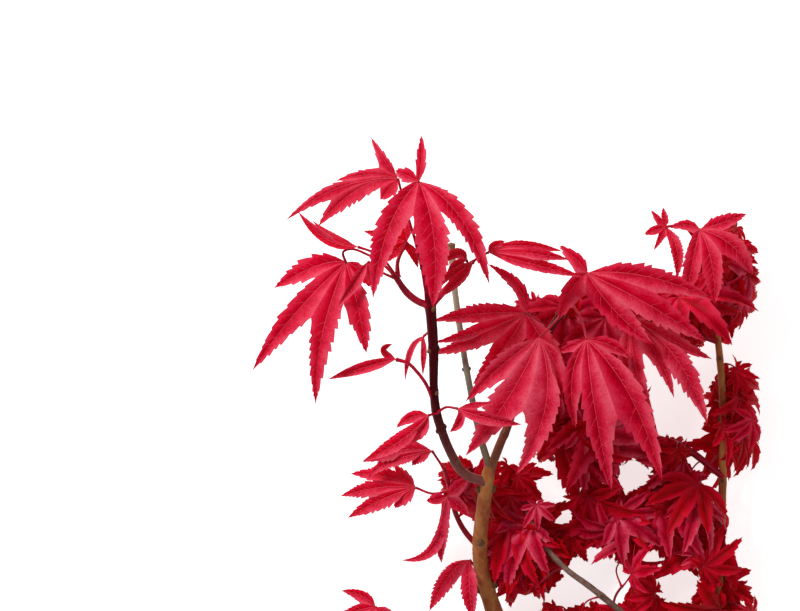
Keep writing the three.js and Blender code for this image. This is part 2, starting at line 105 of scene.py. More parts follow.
add_limb("upper_twig", "young_bark", [107.4, -12, 22, 1.2], [94, -8, 25, 1.1], [80, -6, 27, 1],
    [66, -6, 28, 0.9], [54, -4, 28, 0.8])
add_limb("left_twig", "young_bark", [26.8, -82, 28, 1.1], [21.7, -76, 30, 1], [18.7, -70, 32.5, 0.9],
    [16.8, -62, 36, 0.8], [14.8, -54.5, 40, 0.7])
add_limb("lower_left_twig", "young_bark", [34, -110, 8.5, 1.4], [24, -114, 9, 1.2], [12, -115, 9.5, 1.1],
    [1, -110, 10.5, 0.9], [-6, -104, 12, 0.8])
add_limb("left_side_shoot", "young_bark", [10, -0.3, 78, 1.3], [5.5, 1.7, 79.5, 1.3], [2, 4.6, 81, 1.3],
    [-1, 8.8, 82.5, 1])
add_limb("right_side_shoot", "young_bark", [10.5, 0, 78, 1.2], [14.5, 4.5, 79.5, 1.2],
    [19, 9.5, 80.5, 1.1], [24, 14.4, 81.5, 0.8])

WEB_SHARE = 0.45  # share of the shorter lobe that the web between two lobes reaches
STALK_RADIUS = 0.46
LEAVES = {}


def add_leaf(name, shade, fold, stalk, *lobes, web=WEB_SHARE, teeth=1, thick=STALK_RADIUS):
    """A single leaf. Each lobe is a point half way along it, its tip and its half width.

    fold is how far the blade folds up from its midribs, stalk goes from a limb to the point where the lobes
    meet, teeth is how deep the margin is cut, and thick the stalk's radius."""
    LEAVES[name] = (shade, fold, stalk, lobes, web, teeth, thick)


add_leaf("crown_leaf_front", "crimson", 0.42, [[6.3, 18, 82], [6, 31, 86], [6.3, 41.2, 89.5]],
    [-3.7, 25.8, 92.5, -9, 2.2, 91, 3.9], [11.3, 21.8, 93.5, 10.8, -0.8, 89, 5.3],
    [20.4, 28.8, 92, 29.8, 6.8, 87, 3], [7.2, 49.2, 91.5, 7, 56.9, 91, 1.6],
    [2.8, 43, 90, -1.6, 44.9, 89, 2.4], web=0.3)
add_leaf("crown_leaf_left", "rose", 0.22, [[6, 18.5, 82], [2, 32, 83], [-0.7, 42.2, 85]],
    [-20.4, 39.1, 85.5, -38.2, 28.2, 81, 2.2], [-14.4, 38.4, 84.5, -27.4, 26.2, 80, 3.1],
    [-3.6, 39, 85, -6.6, 35.2, 84, 2.7], [-5.5, 48.7, 87, -9.7, 56.2, 87, 1.5],
    [-10.5, 43.5, 86, -21.5, 41.4, 84.5, 1.7], web=0.72)
add_leaf("left_leaf", "crimson", 0.36, [[-1, 9, 82], [-6, 14, 82], [-11, 17, 82], [-16, 18.8, 82.5],
    [-19, 17.8, 83], [-18, 14.2, 83]], [-27.6, 13.2, 84, -42, 5.8, 80, 3.4],
    [-34.4, -2.1, 85, -49.3, -21.8, 78, 3.6], [-25.9, -9.8, 86, -28.1, -33, 79, 3.6],
    [-13.8, -1.5, 84, -11.2, -16, 79, 3.6], [-14, 12, 83, -9.7, 6, 80, 2])
add_leaf("narrow_leaf_left", "scarlet", 0.8, [[-1, 9, 83], [-5, 14.8, 85.5], [-9, 17.7, 87],
    [-14, 19.5, 87.5]], [-24.9, 22.4, 88.5, -34, 31.5, 87, 1.8],
    [-22.5, 23.1, 87.5, -29.4, 28.5, 86, 1.1], teeth=0.25)
add_leaf("folded_leaf_left", "crimson", 0.8, [[-1, 8.8, 83], [-6, 11, 85.5], [-10.7, 14.6, 87.2]],
    [-15.3, 7.2, 88.6, -20.7, -0.3, 87.5, 1.8], [-9.6, 9.6, 87.3, -8.8, 5, 86.5, 1.2], teeth=0.3)
add_leaf("inner_leaf", "deep", 0.4, [[-0.8, 9.4, 82], [-0.7, 15, 81], [2.3, 21.2, 80]],
    [-5, 23.3, 79, -12.3, 24.8, 78, 1.9], [-1.2, 18.4, 78.5, -4, 14.5, 77, 1.8],
    [4.4, 17.4, 79, 6, 12.4, 78, 1.3], [1.5, 26, 80, 0.5, 31, 79, 2], thick=0.7)
add_leaf("young_leaf_upper", "crimson", 0.7, [[22.8, 13.4, 81.5], [22.2, 15, 84]],
    [18.7, 17.6, 85.5, 13.6, 13.8, 84.5, 1.7], [19.4, 14.2, 84.5, 15.7, 11.4, 84, 1.2], teeth=0.5)
add_leaf("young_leaf_lower", "scarlet", 0.7, [[23.7, 14.2, 81.5], [24.4, 14.2, 83.5]],
    [19, 8.6, 83.5, 13.2, 2.4, 82.8, 2], [16.6, 10.4, 83.5, 12.6, 4.6, 83, 1.4], teeth=0.5)
add_leaf("folded_leaf_right", "scarlet", 0.6, [[23.7, 14.2, 81.5], [27, 16.6, 82.5], [29.5, 17.7, 83]],
    [44.7, 13.6, 83, 61.5, 9.4, 78, 2.1], [42.3, 17.4, 84.5, 56.6, 15.2, 81, 2.2],
    [40, 20, 83, 54.4, 18, 80, 1.8], [31.6, 19.8, 83.5, 35, 21.4, 83, 1.6], teeth=0.5)
add_leaf("faint_leaf_left", "rose", 0.5, [[10.5, -8, 75], [8, -10.2, 72.5]],
    [3.6, -15, 71.5, 1.7, -25.5, 69.5, 1], [7.8, -17, 71.5, 7.6, -23.6, 70, 1], teeth=0.4)
add_leaf("pointing_leaf_left", "crimson", 0.7, [[12, -34, 65.5], [8.5, -26, 70.5], [5.5, -22, 72],
    [2.7, -19.3, 72.8], [-1.3, -18, 73]], [-12.3, -20.8, 74, -24.3, -24.8, 71.5, 1.9],
    [-5.4, -15.2, 72.5, -2.4, -12.8, 71, 1.3], teeth=0.15, thick=0.65)
add_leaf("low_leaf_left", "scarlet", 0.4, [[12, -36, 65], [9.5, -36.8, 68.5]],
    [0.8, -44.8, 69, -12.8, -52.3, 64, 2.6], [4, -37.4, 69, -1.3, -41, 67.5, 1.8],
    [7, -41, 67, 1.4, -46.6, 64, 2.5], teeth=0.5)
add_leaf("folded_leaf_low", "crimson", 0.6, [[12.2, -36, 65.5], [15.5, -34, 68.5], [19.3, -34.5, 69.5]],
    [29, -37.6, 71, 40.7, -39.8, 68.5, 2.1], [25, -33.3, 70, 32.3, -32.6, 69, 0.9],
    [20.3, -38.3, 69, 16.6, -42.3, 68, 1.8], teeth=0.4)
add_leaf("leaf_behind_shoot", "crimson", 0.34, [[50, -9, 47], [47, -5.5, 51], [42, -2.5, 55]],
    [26.8, -2.8, 56, 10.8, -5.2, 53, 3], [26.4, -8.8, 55, 11.4, -12.4, 52, 2.4],
    [21.2, -13.1, 53, 9.8, -15.4, 51, 2.9], [35.7, -13.2, 54, 24.4, -26.5, 51.5, 3.3],
    [39.8, 5.8, 57, 29.3, 14, 56, 1.9], [49.3, -14, 54, 57, -27.5, 50, 3.2], web=0.5)
add_leaf("large_leaf_middle", "rose", 0.5, [[55.5, -1, 47.5], [52.5, -5, 54], [46.7, -10.8, 61]],
    [33.3, -20.8, 61.5, 22, -32.2, 57, 3.2], [37, -29.8, 62, 22, -50.5, 56, 5.1],
    [48.8, -33.2, 63, 38.8, -57, 57, 4.2], [52, -19.8, 60, 54.3, -31.5, 57, 2.6], web=0.55)
add_leaf("large_leaf_right", "crimson", 0.5, [[57, 1.5, 48], [60.5, -4, 54], [62.7, -11.5, 61.5]],
    [65.3, -34.8, 64, 71, -62.2, 58, 4.3], [77.3, -30.8, 63, 88, -58.8, 58, 4.8],
    [57.7, -24, 61, 59, -41.5, 57, 2.8], [58.3, -13.4, 61, 53.4, -15.6, 60, 1.8],
    [70, -13.2, 61.5, 77.3, -17.5, 60, 2.2], web=0.55)
add_leaf("arching_leaf_right", "crimson", 0.4, [[62, 8, 50], [63, 10, 57], [62.7, 10.8, 64]],
    [82.7, 9.7, 66, 105.3, 1.8, 60, 3.6], [83.3, 0.2, 65, 102.7, -12.2, 58, 4.5],
    [71.7, -1.5, 64.5, 85, -13.2, 62.5, 4], [57.3, 5.2, 63, 53.3, -4.8, 60, 3],
    [59.4, 15, 65.5, 53.3, 20.2, 65, 2.1], web=0.55)
add_leaf("outer_leaf_right", "rose", 0.35, [[61.5, 7.4, 49.5], [70, 3, 50], [77.3, -4.2, 53]],
    [92.3, -17.2, 54, 103.5, -40, 47, 3.9], [94, -13, 52, 105, -18, 49, 2.6],
    [79.6, -22.5, 52, 86.8, -43, 46, 2.3], [86.6, -17.2, 51, 92.2, -31.2, 47, 2.4],
    [76, -17, 52, 74, -28.2, 49, 3])
add_leaf("far_leaf_upper_right", "crimson", 0.4, [[99.2, 23.4, 36], [95, 27, 38.5], [89.6, 26.5, 40]],
    [87, 29.2, 41, 84.6, 32.2, 41, 1.1], [89.2, 29.8, 41.5, 88.6, 33.2, 42.5, 1.2],
    [86.2, 25.4, 40.5, 82.4, 24, 39, 1.6], [93.4, 18.5, 40, 93.2, 8.8, 37, 1.9],
    [87.6, 22.2, 39, 85.6, 18.6, 37, 0.9])
add_leaf("edge_leaf_upper_right", "crimson", 0.35, [[99, 23.8, 36], [101, 25.6, 42.5]],
    [98.4, 14, 43, 96.3, 2.5, 38, 2.9], [105, 14, 44, 106, 0, 38, 3.4], [112, 20, 43, 119, 10, 37, 3.3],
    [109, 28, 43, 117, 31, 40, 2.4], [96, 27.2, 43, 91, 26, 42, 1.6])
add_leaf("back_leaf_low_left", "crimson", 0.3, [[14.8, -55, 40], [10.8, -49, 45]],
    [-0.2, -48.8, 46, -12.6, -52.8, 43, 3], [-3.5, -52.6, 44, -10.7, -58.4, 41, 2.4],
    [7, -50.8, 44, 4, -54, 42.5, 1.9])
add_leaf("star_leaf_low_left", "scarlet", 0.35, [[16.8, -62.5, 36], [11, -63.5, 36.5], [5.3, -61.5, 36]],
    [-5, -57.8, 37, -16.8, -56.8, 34, 2.7], [-6.7, -61.4, 37, -20.2, -64.4, 33, 3.1],
    [-5, -65, 36, -17.8, -71.8, 32, 2.9], [0.7, -65.3, 36, -1.7, -68.5, 34, 2.2],
    [1, -57.5, 36.5, -1.7, -53.4, 35.5, 2])
add_leaf("hanging_leaf_low_left", "crimson", 0.35, [[17.6, -66.5, 34], [15.8, -64.5, 38.5]],
    [13.8, -74, 38, 14, -87, 33, 2.7], [12, -81.2, 36, 0.2, -86, 31, 2],
    [12.6, -65.4, 38.5, 8.8, -65.8, 38, 2], [20, -67.5, 38, 23.3, -71.5, 37.5, 1.9],
    [20.5, -60.5, 39.5, 23, -57, 39.5, 2.2], teeth=0.6)
add_leaf("arching_leaf_low", "crimson", 0.3, [[28, -92, 21], [23.6, -86.2, 23.5]],
    [16.9, -91.3, 22, 9.9, -103.8, 17, 2.7], [23.5, -95, 25.5, 24.8, -107.5, 22, 2.6], web=0.3)
add_leaf("tip_leaf_low_left", "scarlet", 0.3, [[-5.5, -104.5, 12], [-8.3, -102.4, 14.5]],
    [-12.9, -98.6, 15.5, -20, -96.8, 14, 1.8], [-15.4, -104, 13.5, -21.8, -108, 8, 2],
    [-12, -108.5, 12.5, -14.6, -116, 5, 2], [-3.8, -105, 14.5, -1.2, -110, 12.5, 1.5])

# Masses of foliage: centre and radii
MASSES = {
    "foliage_upper_middle": ([50, -4, 28], [10.5, 8.5, 11]),
    "foliage_upper": ([68, -6, 28], [13, 10, 13]),
    "foliage_upper_right": ([90, -5, 25], [13.5, 9.5, 14]),
    "foliage_edge_upper": ([110, 9, 16], [11, 16, 16]),
    "foliage_middle": ([61.5, -36.5, 20], [13, 20, 15]),
    "foliage_middle_low": ([48.5, -47.5, 22], [7.5, 6.5, 9]),
    "foliage_middle_right": ([80, -40, 20], [8.5, 11.5, 13]),
    "foliage_edge_middle": ([94.5, -56.5, 22], [9, 13, 14]),
    "foliage_below_fork": ([39.5, -66.5, 24], [10.5, 14.5, 13]),
    "foliage_centre": ([66.5, -70.5, 20], [13.5, 17, 13]),
    "foliage_lower_centre": ([83, -73.5, 18], [11, 14, 12]),
    "foliage_right": ([101.5, -76, 22], [8, 13.5, 12]),
    "foliage_edge_outer": ([113, -36, 16], [8, 17, 14]),
    "foliage_stem_side": ([46, -86.5, 15], [14.5, 17.5, 13]),
    "foliage_at_bough": ([81.5, -98, 12], [7, 10, 10]),
    "foliage_corner": ([108.5, -99, 13], [9.5, 13, 13]),
    "foliage_bottom": ([60, -113, 10], [17, 14.5, 10]),
    "foliage_bottom_right": ([88, -117, 10], [14, 10, 10]),
    "foliage_left": ([20.2, -62, 17], [6.5, 8, 18]),
    "foliage_lower_left": ([13, -121, 7], [16, 8.5, 7.5]),
}

# Openings where the photograph shows the background between the leaves: centre and half sizes
SKY = [
    (20.8, -44.8, 5.4, 4.6), (39, -46.6, 4.4, 5.8), (49.6, -53.8, 4.2, 1.9), (51, -60.6, 4.4, 4),
    (77.6, -56.5, 4.6, 4.6), (94.3, -34.8, 7.2, 8), (83.3, -40, 4, 5), (69.6, -92.6, 6.2, 7),
    (65, -81.6, 2, 2.2), (60, -87, 2.8, 2.2), (57, -95.5, 5, 5.4), (92.8, -93.5, 5, 6.4),
    (84, -85.5, 2.6, 2.6), (19.3, -79, 3.6, 5.4), (17.5, -96, 5, 4.2), (42.4, -99.8, 4.4, 3.6),
    (98.8, -51.8, 2.6, 2.8), (54.8, -70.8, 2, 2.8), (23.4, -73.2, 2.4, 3), (50.4, 6, 5.4, 2.4),
]

# Colours as on a screen, from 0 to 255. A shade of leaf has a darker tone by the midribs, which paints
# shade into their creases, one between, and a paler one by the margins, which paints a sheen. deep and dark
# are darker copies that paint the shade of leaves low in the foliage.
SHADES = {
    "scarlet": ((160, 0, 22), (200, 0, 38), (214, 36, 70)),
    "crimson": ((148, 0, 26), (188, 0, 44), (210, 50, 82)),
    "ruby": ((146, 0, 12), (184, 0, 28), (200, 20, 52)),
    "rose": ((164, 8, 40), (198, 32, 66), (218, 84, 106)),
    "deep": ((142, 0, 6), (176, 0, 16), (190, 10, 36)),
    "dark": ((126, 0, 0), (154, 0, 5), (168, 2, 16)),
}
# Paler shade painted on the half of a lobe that faces the key lamp, as a painted sheen,
# on single leaves and in the foliage
PAINTED_SHEEN = {"scarlet": "rose", "crimson": "rose", "rose": "rose", "deep": "crimson"}
FOLIAGE_PAINTED_SHEEN = {"scarlet": "crimson", "crimson": "rose", "deep": "ruby", "dark": "deep"}
VEIN_COLOUR = (222, 64, 84)
STALK_COLOUR = (170, 4, 38)
FLOOR_COLOUR = (226, 226, 226)
FLOOR_GLOW = 0.72
WORLD_GLOW = 0.32
WHITE = (1, 1, 1, 1)
LIGHT_FROM = (-1, 1, 1.5)  # towards the key lamp

UP = np.array([0, 0, 1.0])  # towards the camera
NEARLY_ZERO = 1e-3


def vectors(points):
    return np.array(points, float)


def unit(rows):
    return rows / np.maximum(np.linalg.norm(rows, axis=-1, keepdims=True), 1e-9)


def in_frame(points):
    """Points of the drawing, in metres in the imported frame."""
    return (np.asarray(points, float) + SHIFT) * MM


def linear(colour):
    """A screen colour as the light that it stands for, with alpha."""
    share = np.array(colour) / 255
    light = np.where(share <= 0.04045, share / 12.92, ((share + 0.055) / 1.055) ** 2.4)
    return (*light.tolist(), 1)


def between(rows, places, at):
    """The rows, which belong to these places, at other places between them."""
    return np.array([np.interp(at, places, column) for column in rows.T]).T


def distances(points):
    """How far along a line each of its points is, by the first three columns."""
    steps = np.linalg.norm(np.diff(points[:, :3], axis=0), axis=1)
    return np.concatenate([[0], np.cumsum(steps)])


def evenly(points, step):
    """The line again, with its points about a step apart."""
    far = distances(points)
    return between(points, far, np.linspace(0, far[-1], max(2, round(far[-1] / step) + 1)))


SPAN_POINTS = 12  # points of a rounded line between two of those that it goes through


def smooth_line(points):
    """A rounded line through the points. Columns past the third, such as a radius, are carried along."""
    knots = vectors(points)
    ends = [2 * knots[0] - knots[1], *knots, 2 * knots[-1] - knots[-2]]
    made = []
    for before, start, end, after in zip(ends, ends[1:], ends[2:], ends[3:]):
        pairs = ((before, start), (start, end), (end, after))
        one, two, three = (np.linalg.norm((b - a)[:3]) ** 0.5 for a, b in pairs)
        leave = two * ((start - before) / one - (end - before) / (one + two) + (end - start) / two)
        arrive = two * ((end - start) / two - (after - start) / (two + three) + (after - end) / three)
        for t in np.arange(SPAN_POINTS) / SPAN_POINTS:
            straight = start + (end - start) * t
            bent = (
                (2 * t**3 - 3 * t**2 + 1) * start
                + (t**3 - 2 * t**2 + t) * leave
                + (3 * t**2 - 2 * t**3) * end
                + (t**3 - t**2) * arrive
            )
            bent[3:] = straight[3:]
            made.append(bent)
    return np.array([*made, knots[-1]])


def limb_line(name, step):
    """The limb's rounded middle line and radius, at places about a step apart."""
    return evenly(smooth_line(LIMBS[name][1]), step)


def arc(start, middle, tip, t):
    """The points at shares t along a bow that passes the middle half way."""
    control = 2 * middle - 0.5 * start - 0.5 * tip
    return (1 - t) ** 2 * start + 2 * (1 - t) * t * control + t**2 * tip


def new_object(name, data):
    made = bpy.data.objects.new(name, data)
    bpy.context.scene.collection.objects.link(made)
    return made


class Pile:
    """Vertices and faces of one piece while it is made."""

    def __init__(self):
        self.points = []
        self.faces = []
        self.slots = []
        self.across = []
        self.count = 0

    def add(self, points, faces, slot=0, across=0):
        """across is how far each point is from the midrib of its lobe, from 0 to 1 at the margin. The leaf
        materials paint shade and sheen by it.
        """
        self.points.append(points)
        self.faces.append(faces + self.count)
        self.slots.append(np.full(len(faces), slot))
        self.across.append(np.broadcast_to(across, len(points)))
        self.count += len(points)

    def piece(self, name, materials, finish, nodes=()):
        """The piece as an object that rides on the branch, in place of the nodes."""
        mesh = bpy.data.meshes.new(name)
        faces = [face for block in self.faces for face in block.tolist()]
        mesh.from_pydata(in_frame(np.concatenate(self.points)).tolist(), [], faces)
        for material in materials:
            mesh.materials.append(material)
        mesh.polygons.foreach_set("material_index", np.concatenate(self.slots).astype(np.int32))
        mesh.polygons.foreach_set("use_smooth", np.ones(len(mesh.polygons), bool))
        across = mesh.attributes.new("across", "FLOAT", "POINT")
        across.data.foreach_set("value", np.concatenate(self.across).astype(np.float32))
        mesh.update()
        made = new_object(name, mesh)
        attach(made, "root")
        if nodes:
            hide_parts(*nodes)


def grid_faces(rows, columns, closed=False):
    """Faces of a grid of points, row after row, or of a tube where each row closes on itself."""
    across = columns if closed else columns - 1
    row = np.repeat(np.arange(rows - 1), across)
    column = np.tile(np.arange(across), rows - 1)
    beside = (column + 1) % columns
    a = row * columns + column
    b = row * columns + beside
    return np.stack([a, b, b + columns, a + columns], axis=1)


def frames(points):
    """Along, side and up vectors at each point of a line, turning as little as they can."""
    ahead = unit(np.gradient(points, axis=0))
    guess = np.cross(ahead[0], UP)
    if np.linalg.norm(guess) < NEARLY_ZERO:
        guess = np.cross(ahead[0], [0, 1, 0])
    side = np.zeros_like(points)
    for k, way in enumerate(ahead):
        guess = guess - way * (guess @ way)
        guess = guess / np.linalg.norm(guess)
        side[k] = guess
    return ahead, side, np.cross(side, ahead)


END_BULGE = 0.4  # how far a tube's tip is domed, as a share of its radius


def tube(pile, points, radii, sides, relief=None, foot=None, slot=0):
    """A round tube with its ends closed, and its foot square to the vector foot if that is given.

    relief is a share of the radius for each ring and side."""
    ahead, side, up = frames(points)
    if foot is not None:
        ahead[0] = foot
        side[0] = unit(np.cross(foot, UP))
        up[0] = np.cross(side[0], ahead[0])
    turn = (np.arange(sides) / sides * 2 * math.pi)[:, None]
    spokes = side[:, None] * np.cos(turn) + up[:, None] * np.sin(turn)
    reach = radii[:, None] * (1 if relief is None else 1 + relief) * np.ones(sides)
    rings = points[:, None] + spokes * reach[..., None]
    pile.add(rings.reshape(-1, 3), grid_faces(len(points), sides, closed=True), slot)
    crown = points[-1] + ahead[-1] * radii[-1] * END_BULGE
    rim = np.arange(sides)
    fan = np.stack([(rim + 1) % sides, rim, np.full(sides, sides)], axis=1)
    for ring, middle in ((rings[0], points[0]), (rings[-1][::-1], crown)):
        pile.add(np.concatenate([ring, [middle]]), fan, slot)


# Leaf blades

TO_LIGHT = unit(vectors(LIGHT_FROM))

# Half width of a lobe as a share of its widest, at shares of its length
OUTLINE_PLACES = [0, 0.1, 0.25, 0.4, 0.55, 0.7, 0.82, 0.9, 0.96, 1]
OUTLINE_WIDTHS = [0.35, 0.6, 0.86, 1, 0.92, 0.68, 0.42, 0.23, 0.09, 0]
WEB_ANGLE = math.radians(115)  # lobes further apart than this have no blade between them
WIDENING = 1.08  # half width of a blade as a share of the model's
TOOTH_DEPTH = 0.26  # as a share of the half width
TOOTH_FORWARD = 0.95  # how far a tooth leans to the tip, in rows
TOOTH_CURVE = 0.8  # below 1, a tooth rises fast from its notch
TOOTH_SIZES = (0.35, 1.4)  # least and greatest depth of a tooth, as shares of TOOTH_DEPTH
NOTCH = 0.35  # share of a tooth's depth by which its notch is inside the outline
TOOTHED = 0.95  # share of a lobe's rows that may have teeth
FADE_IN = 4  # length past the web along which teeth and waves grow to their full size
WAVES = 9  # the waves along a margin, in radians for the whole lobe
OPENING = 0.22  # share of a lobe by which a half without a web has its full width
WEB_FADE = 0.07  # share of a lobe in which its margin leaves the line of the web
VEIN_SLANT = 1.1
SIDE_VEIN_SHARES = (0.02, 0.86)  # how far across the half a side vein starts and ends
SIDE_VEIN_POINTS = 5
SIDE_VEIN_RADII = (0.1, 0.04)
RIB_REACH = 0.96  # share of a lobe's rows that its midrib's tube follows
RIB_TAPER = 0.8
FULL_RIB = 25  # length of a lobe with a midrib of full thickness
FEWEST_ROWS = 7
MIDRIB_POINTS = 81
ANY_WAY = [0.31, 0.95, 0.05]  # the bearings of lobes are measured from a vector square to this


def outline(share):
    return np.interp(share, OUTLINE_PLACES, OUTLINE_WIDTHS)


def toothed(rows, first, last, rng, longest):
    """For each row, how far along its tooth it is, from 0 at the notch to 1 at the point."""
    saw = np.zeros(rows + 1)
    live = np.zeros(rows + 1)
    points = []
    at = first
    while at < last:
        size = int(rng.integers(max(2, longest - 3), longest + 1))
        end = min(at + size, last)
        if end - at < 2:
            break
        saw[at:end] = np.linspace(0, 1, end - at) ** TOOTH_CURVE
        live[at:end] = rng.uniform(*TOOTH_SIZES)
        points.append(end - 1)
        at = end
    return saw, live, points


class Lobe:
    """One lobe's midrib with its rows and the frame at each."""

    def __init__(self, base, middle, tip, half, step, normal, roll):
        self.dense = arc(base, middle, tip, np.linspace(0, 1, MIDRIB_POINTS)[:, None])
        self.size = distances(self.dense)[-1]
        self.rows = max(FEWEST_ROWS, round(self.size / step))
        self.places = np.linspace(0, self.size, self.rows + 1)
        self.points = self.midrib(self.places)
        ahead = unit(np.gradient(self.points, axis=0))
        side = unit(np.cross(ahead, normal))
        up = np.cross(side, ahead)
        angle = roll * np.minimum(1, self.places / self.size * 2)[:, None]
        self.ahead = ahead
        self.side = side * np.cos(angle) + up * np.sin(angle)
        self.up = up * np.cos(angle) - side * np.sin(angle)
        self.half = half * WIDENING

    def midrib(self, places):
        return between(self.dense, distances(self.dense), places)

    def width(self, places):
        return self.half * outline(places / self.size)


def edge_of(lobe, way, neighbour, normal, fold, web):
    """The margin of one half of a lobe, as vectors from the midrib, and the row where it leaves the web.

    Both lobes beside a web take its ridge from the same points and normal, so their halves meet."""
    width = lobe.width(lobe.places)
    free = lobe.side * (way * width)[:, None] + lobe.up * (fold * width)[:, None]
    if neighbour is None:
        open_up = np.minimum(1, lobe.places / (OPENING * lobe.size)) ** 0.6
        return free * open_up[:, None], 0
    other = neighbour.midrib(lobe.places)
    apart = np.linalg.norm(other - lobe.points, axis=1)
    reach = (width + neighbour.width(lobe.places)) / 2 * (1 + web)
    limit = web * min(lobe.size, neighbour.size)
    open_rows = np.nonzero((apart / 2 > reach) | (lobe.places > limit))[0]
    leave = max(1, int(open_rows[0]) if len(open_rows) else lobe.rows // 2)
    ridge = (other - lobe.points) / 2 + normal * (fold * apart / 2)[:, None]
    past = np.exp(-(lobe.places - lobe.places[leave]) / (WEB_FADE * lobe.size))
    freed = free + (ridge[leave] - free[leave]) * past[:, None]
    return np.where((np.arange(lobe.rows + 1) <= leave)[:, None], ridge, freed), leave


def half_lobe(piles, lobe, way, margin, rng, style, teeth, slot):
    """One half of a lobe from its midrib to its toothed margin, and its side veins."""
    leaf, veins = piles
    edge, leave = margin
    rows = lobe.rows
    saw, live, tips = toothed(rows, leave + 1, int(rows * TOOTHED), rng, style["tooth_rows"])
    columns = style["columns"]
    size = np.linalg.norm(edge, axis=1)
    free = np.clip((lobe.places - lobe.places[leave]) / FADE_IN, 0, 1)
    depth = teeth * TOOTH_DEPTH * live * free
    step = lobe.size / rows
    wave = rng.uniform(0, 2 * math.pi)
    ruffle = style["ruffle"] * free * np.sin(lobe.places / lobe.size * WAVES + wave)
    phase = np.interp(lobe.places, lobe.places[tips], np.arange(len(tips))) if len(tips) > 1 else None
    lines = []
    for share in columns:
        line = lobe.points + edge * share
        lift = style["arch"] * size * 4 * share * (1 - share) + ruffle * size * share**2
        if phase is not None and style["quilt"]:
            back = np.interp(lobe.places - size * share * VEIN_SLANT, lobe.places, phase)
            lift = lift - style["quilt"] * np.sin(math.pi * share) * np.cos(2 * math.pi * back)
        if share == 1:
            line = line + edge * (depth * (saw - NOTCH))[:, None]
            lean = TOOTH_FORWARD * step * saw * np.minimum(1, teeth * live)
            line = line + lobe.ahead * lean[:, None]
        lines.append(line + lobe.up * lift[:, None])
    surface = np.stack(lines, axis=1)
    across = np.tile(columns, (rows + 1, 1))
    order = slice(None, None, way)
    points = surface[:, order].reshape(-1, 3)
    leaf.add(points, grid_faces(rows + 1, len(columns)), slot, across[:, order].reshape(-1))
    if not style["side_veins"]:
        return
    for tip in tips:
        share = np.linspace(*SIDE_VEIN_SHARES, SIDE_VEIN_POINTS)
        row = tip - (1 - share) * size[tip] * VEIN_SLANT / step
        if row[0] < 1:
            continue
        low = np.floor(row).astype(int)
        part = (row - low)[:, None]
        near, past = (
            np.array([between(surface[at], columns, s) for at, s in zip(places, share)])
            for places in (low, low + 1)
        )
        line = near * (1 - part) + past * part + lobe.up[low] * 0.02
        tube(veins, line, np.linspace(*SIDE_VEIN_RADII, len(line)), 3)


def blade(piles, base, lobes, normal, rng, style, fold, web=WEB_SHARE, teeth=1, slots=(0, 0)):
    """A palmate blade: its lobes joined by a web near the stalk, with toothed margins and veins.

    slots are the materials of the halves that face away from the light and towards it; the second is a
    painted sheen."""
    base = vectors(base)
    longest = max(np.linalg.norm(vectors(tip) - base) for _, tip, _ in lobes)
    step = longest / style["rows"]
    across = unit(np.cross(normal, ANY_WAY))
    upward = np.cross(normal, across)

    def bearing(entry):
        way = vectors(entry[0]) - base
        return math.atan2(way @ upward, way @ across)

    order = sorted(lobes, key=bearing)
    made = []
    for middle, tip, half in order:
        roll = rng.uniform(-style["roll"], style["roll"])
        made.append(Lobe(base, vectors(middle), vectors(tip), half, step, normal, roll))
    turns = [bearing(entry) for entry in order]
    for i, lobe in enumerate(made):
        for way in (-1, 1):
            # The side vector points clockwise, seen against the normal
            j = (i - way) % len(made)
            gap = (turns[j] - turns[i]) * -way % (2 * math.pi)
            neighbour = made[j] if len(made) > 1 and gap < WEB_ANGLE else None
            margin = edge_of(lobe, way, neighbour, normal, fold, web)
            # The half that faces the key lamp takes the painted sheen
            lit = (lobe.side[-1] * way) @ TO_LIGHT < 0
            half_lobe(piles, lobe, way, margin, rng, style, teeth, slots[int(lit)])
        reach = max(3, int(lobe.rows * RIB_REACH))
        thick = style["vein"] * min(1, lobe.size / FULL_RIB) ** 0.5
        rows = slice(0, reach, style["vein_step"])
        radii = thick * (1 - RIB_TAPER * lobe.places[rows] / lobe.size)
        rib = lobe.points[rows] + lobe.up[rows] * thick * 0.1
        tube(piles[1], rib, radii, style["vein_sides"])


# How blades are made, for single leaves and in the foliage: rows along the longest lobe, columns across
# a half, how it bulges, waves and swells between its side veins, the most rows in a tooth, the twist of a
# lobe in radians, and the midrib's tube
FINE = dict(
    rows=60, columns=[0, 0.3, 0.6, 0.84, 1], arch=0.08, ruffle=0.06, quilt=0.16, tooth_rows=6,
    side_veins=True, roll=0.25, vein=0.17, vein_step=1, vein_sides=5,
)
COARSE = dict(
    rows=26, columns=[0, 0.5, 0.84, 1], arch=0.08, ruffle=0.08, quilt=0, tooth_rows=3,
    side_veins=False, roll=0.35, vein=0.16, vein_step=2, vein_sides=3,
)


# Materials


def material(name):
    """A new material with its node tree and shader."""
    made = bpy.data.materials.new(name)
    made.use_nodes = True
    return made, made.node_tree, made.node_tree.nodes["Principled BSDF"]


def fill(tree, node, inputs):
    """Sets a node's inputs. One that is given as another node's output is linked to it."""
    for name, value in inputs.items():
        if isinstance(value, bpy.types.NodeSocket):
            tree.links.new(value, node.inputs[name])
        else:
            node.inputs[name].default_value = value


def add(tree, kind, inputs, output):
    """The output of a new node with these inputs."""
    node = tree.nodes.new("ShaderNode" + kind)
    fill(tree, node, inputs)
    return node.outputs[output]


def noise(tree, scale, detail, rough, stretch=None):
    """Noise in object coordinates. stretch squeezes the pattern along the axes."""
    place = add(tree, "TexCoord", {}, "Object")
    if stretch is not None:
        place = add(tree, "Mapping", {"Vector": place, "Scale": stretch}, "Vector")
    look = {"Vector": place, "Scale": scale, "Detail": detail, "Roughness": rough}
    return add(tree, "TexNoise", look, "Fac")


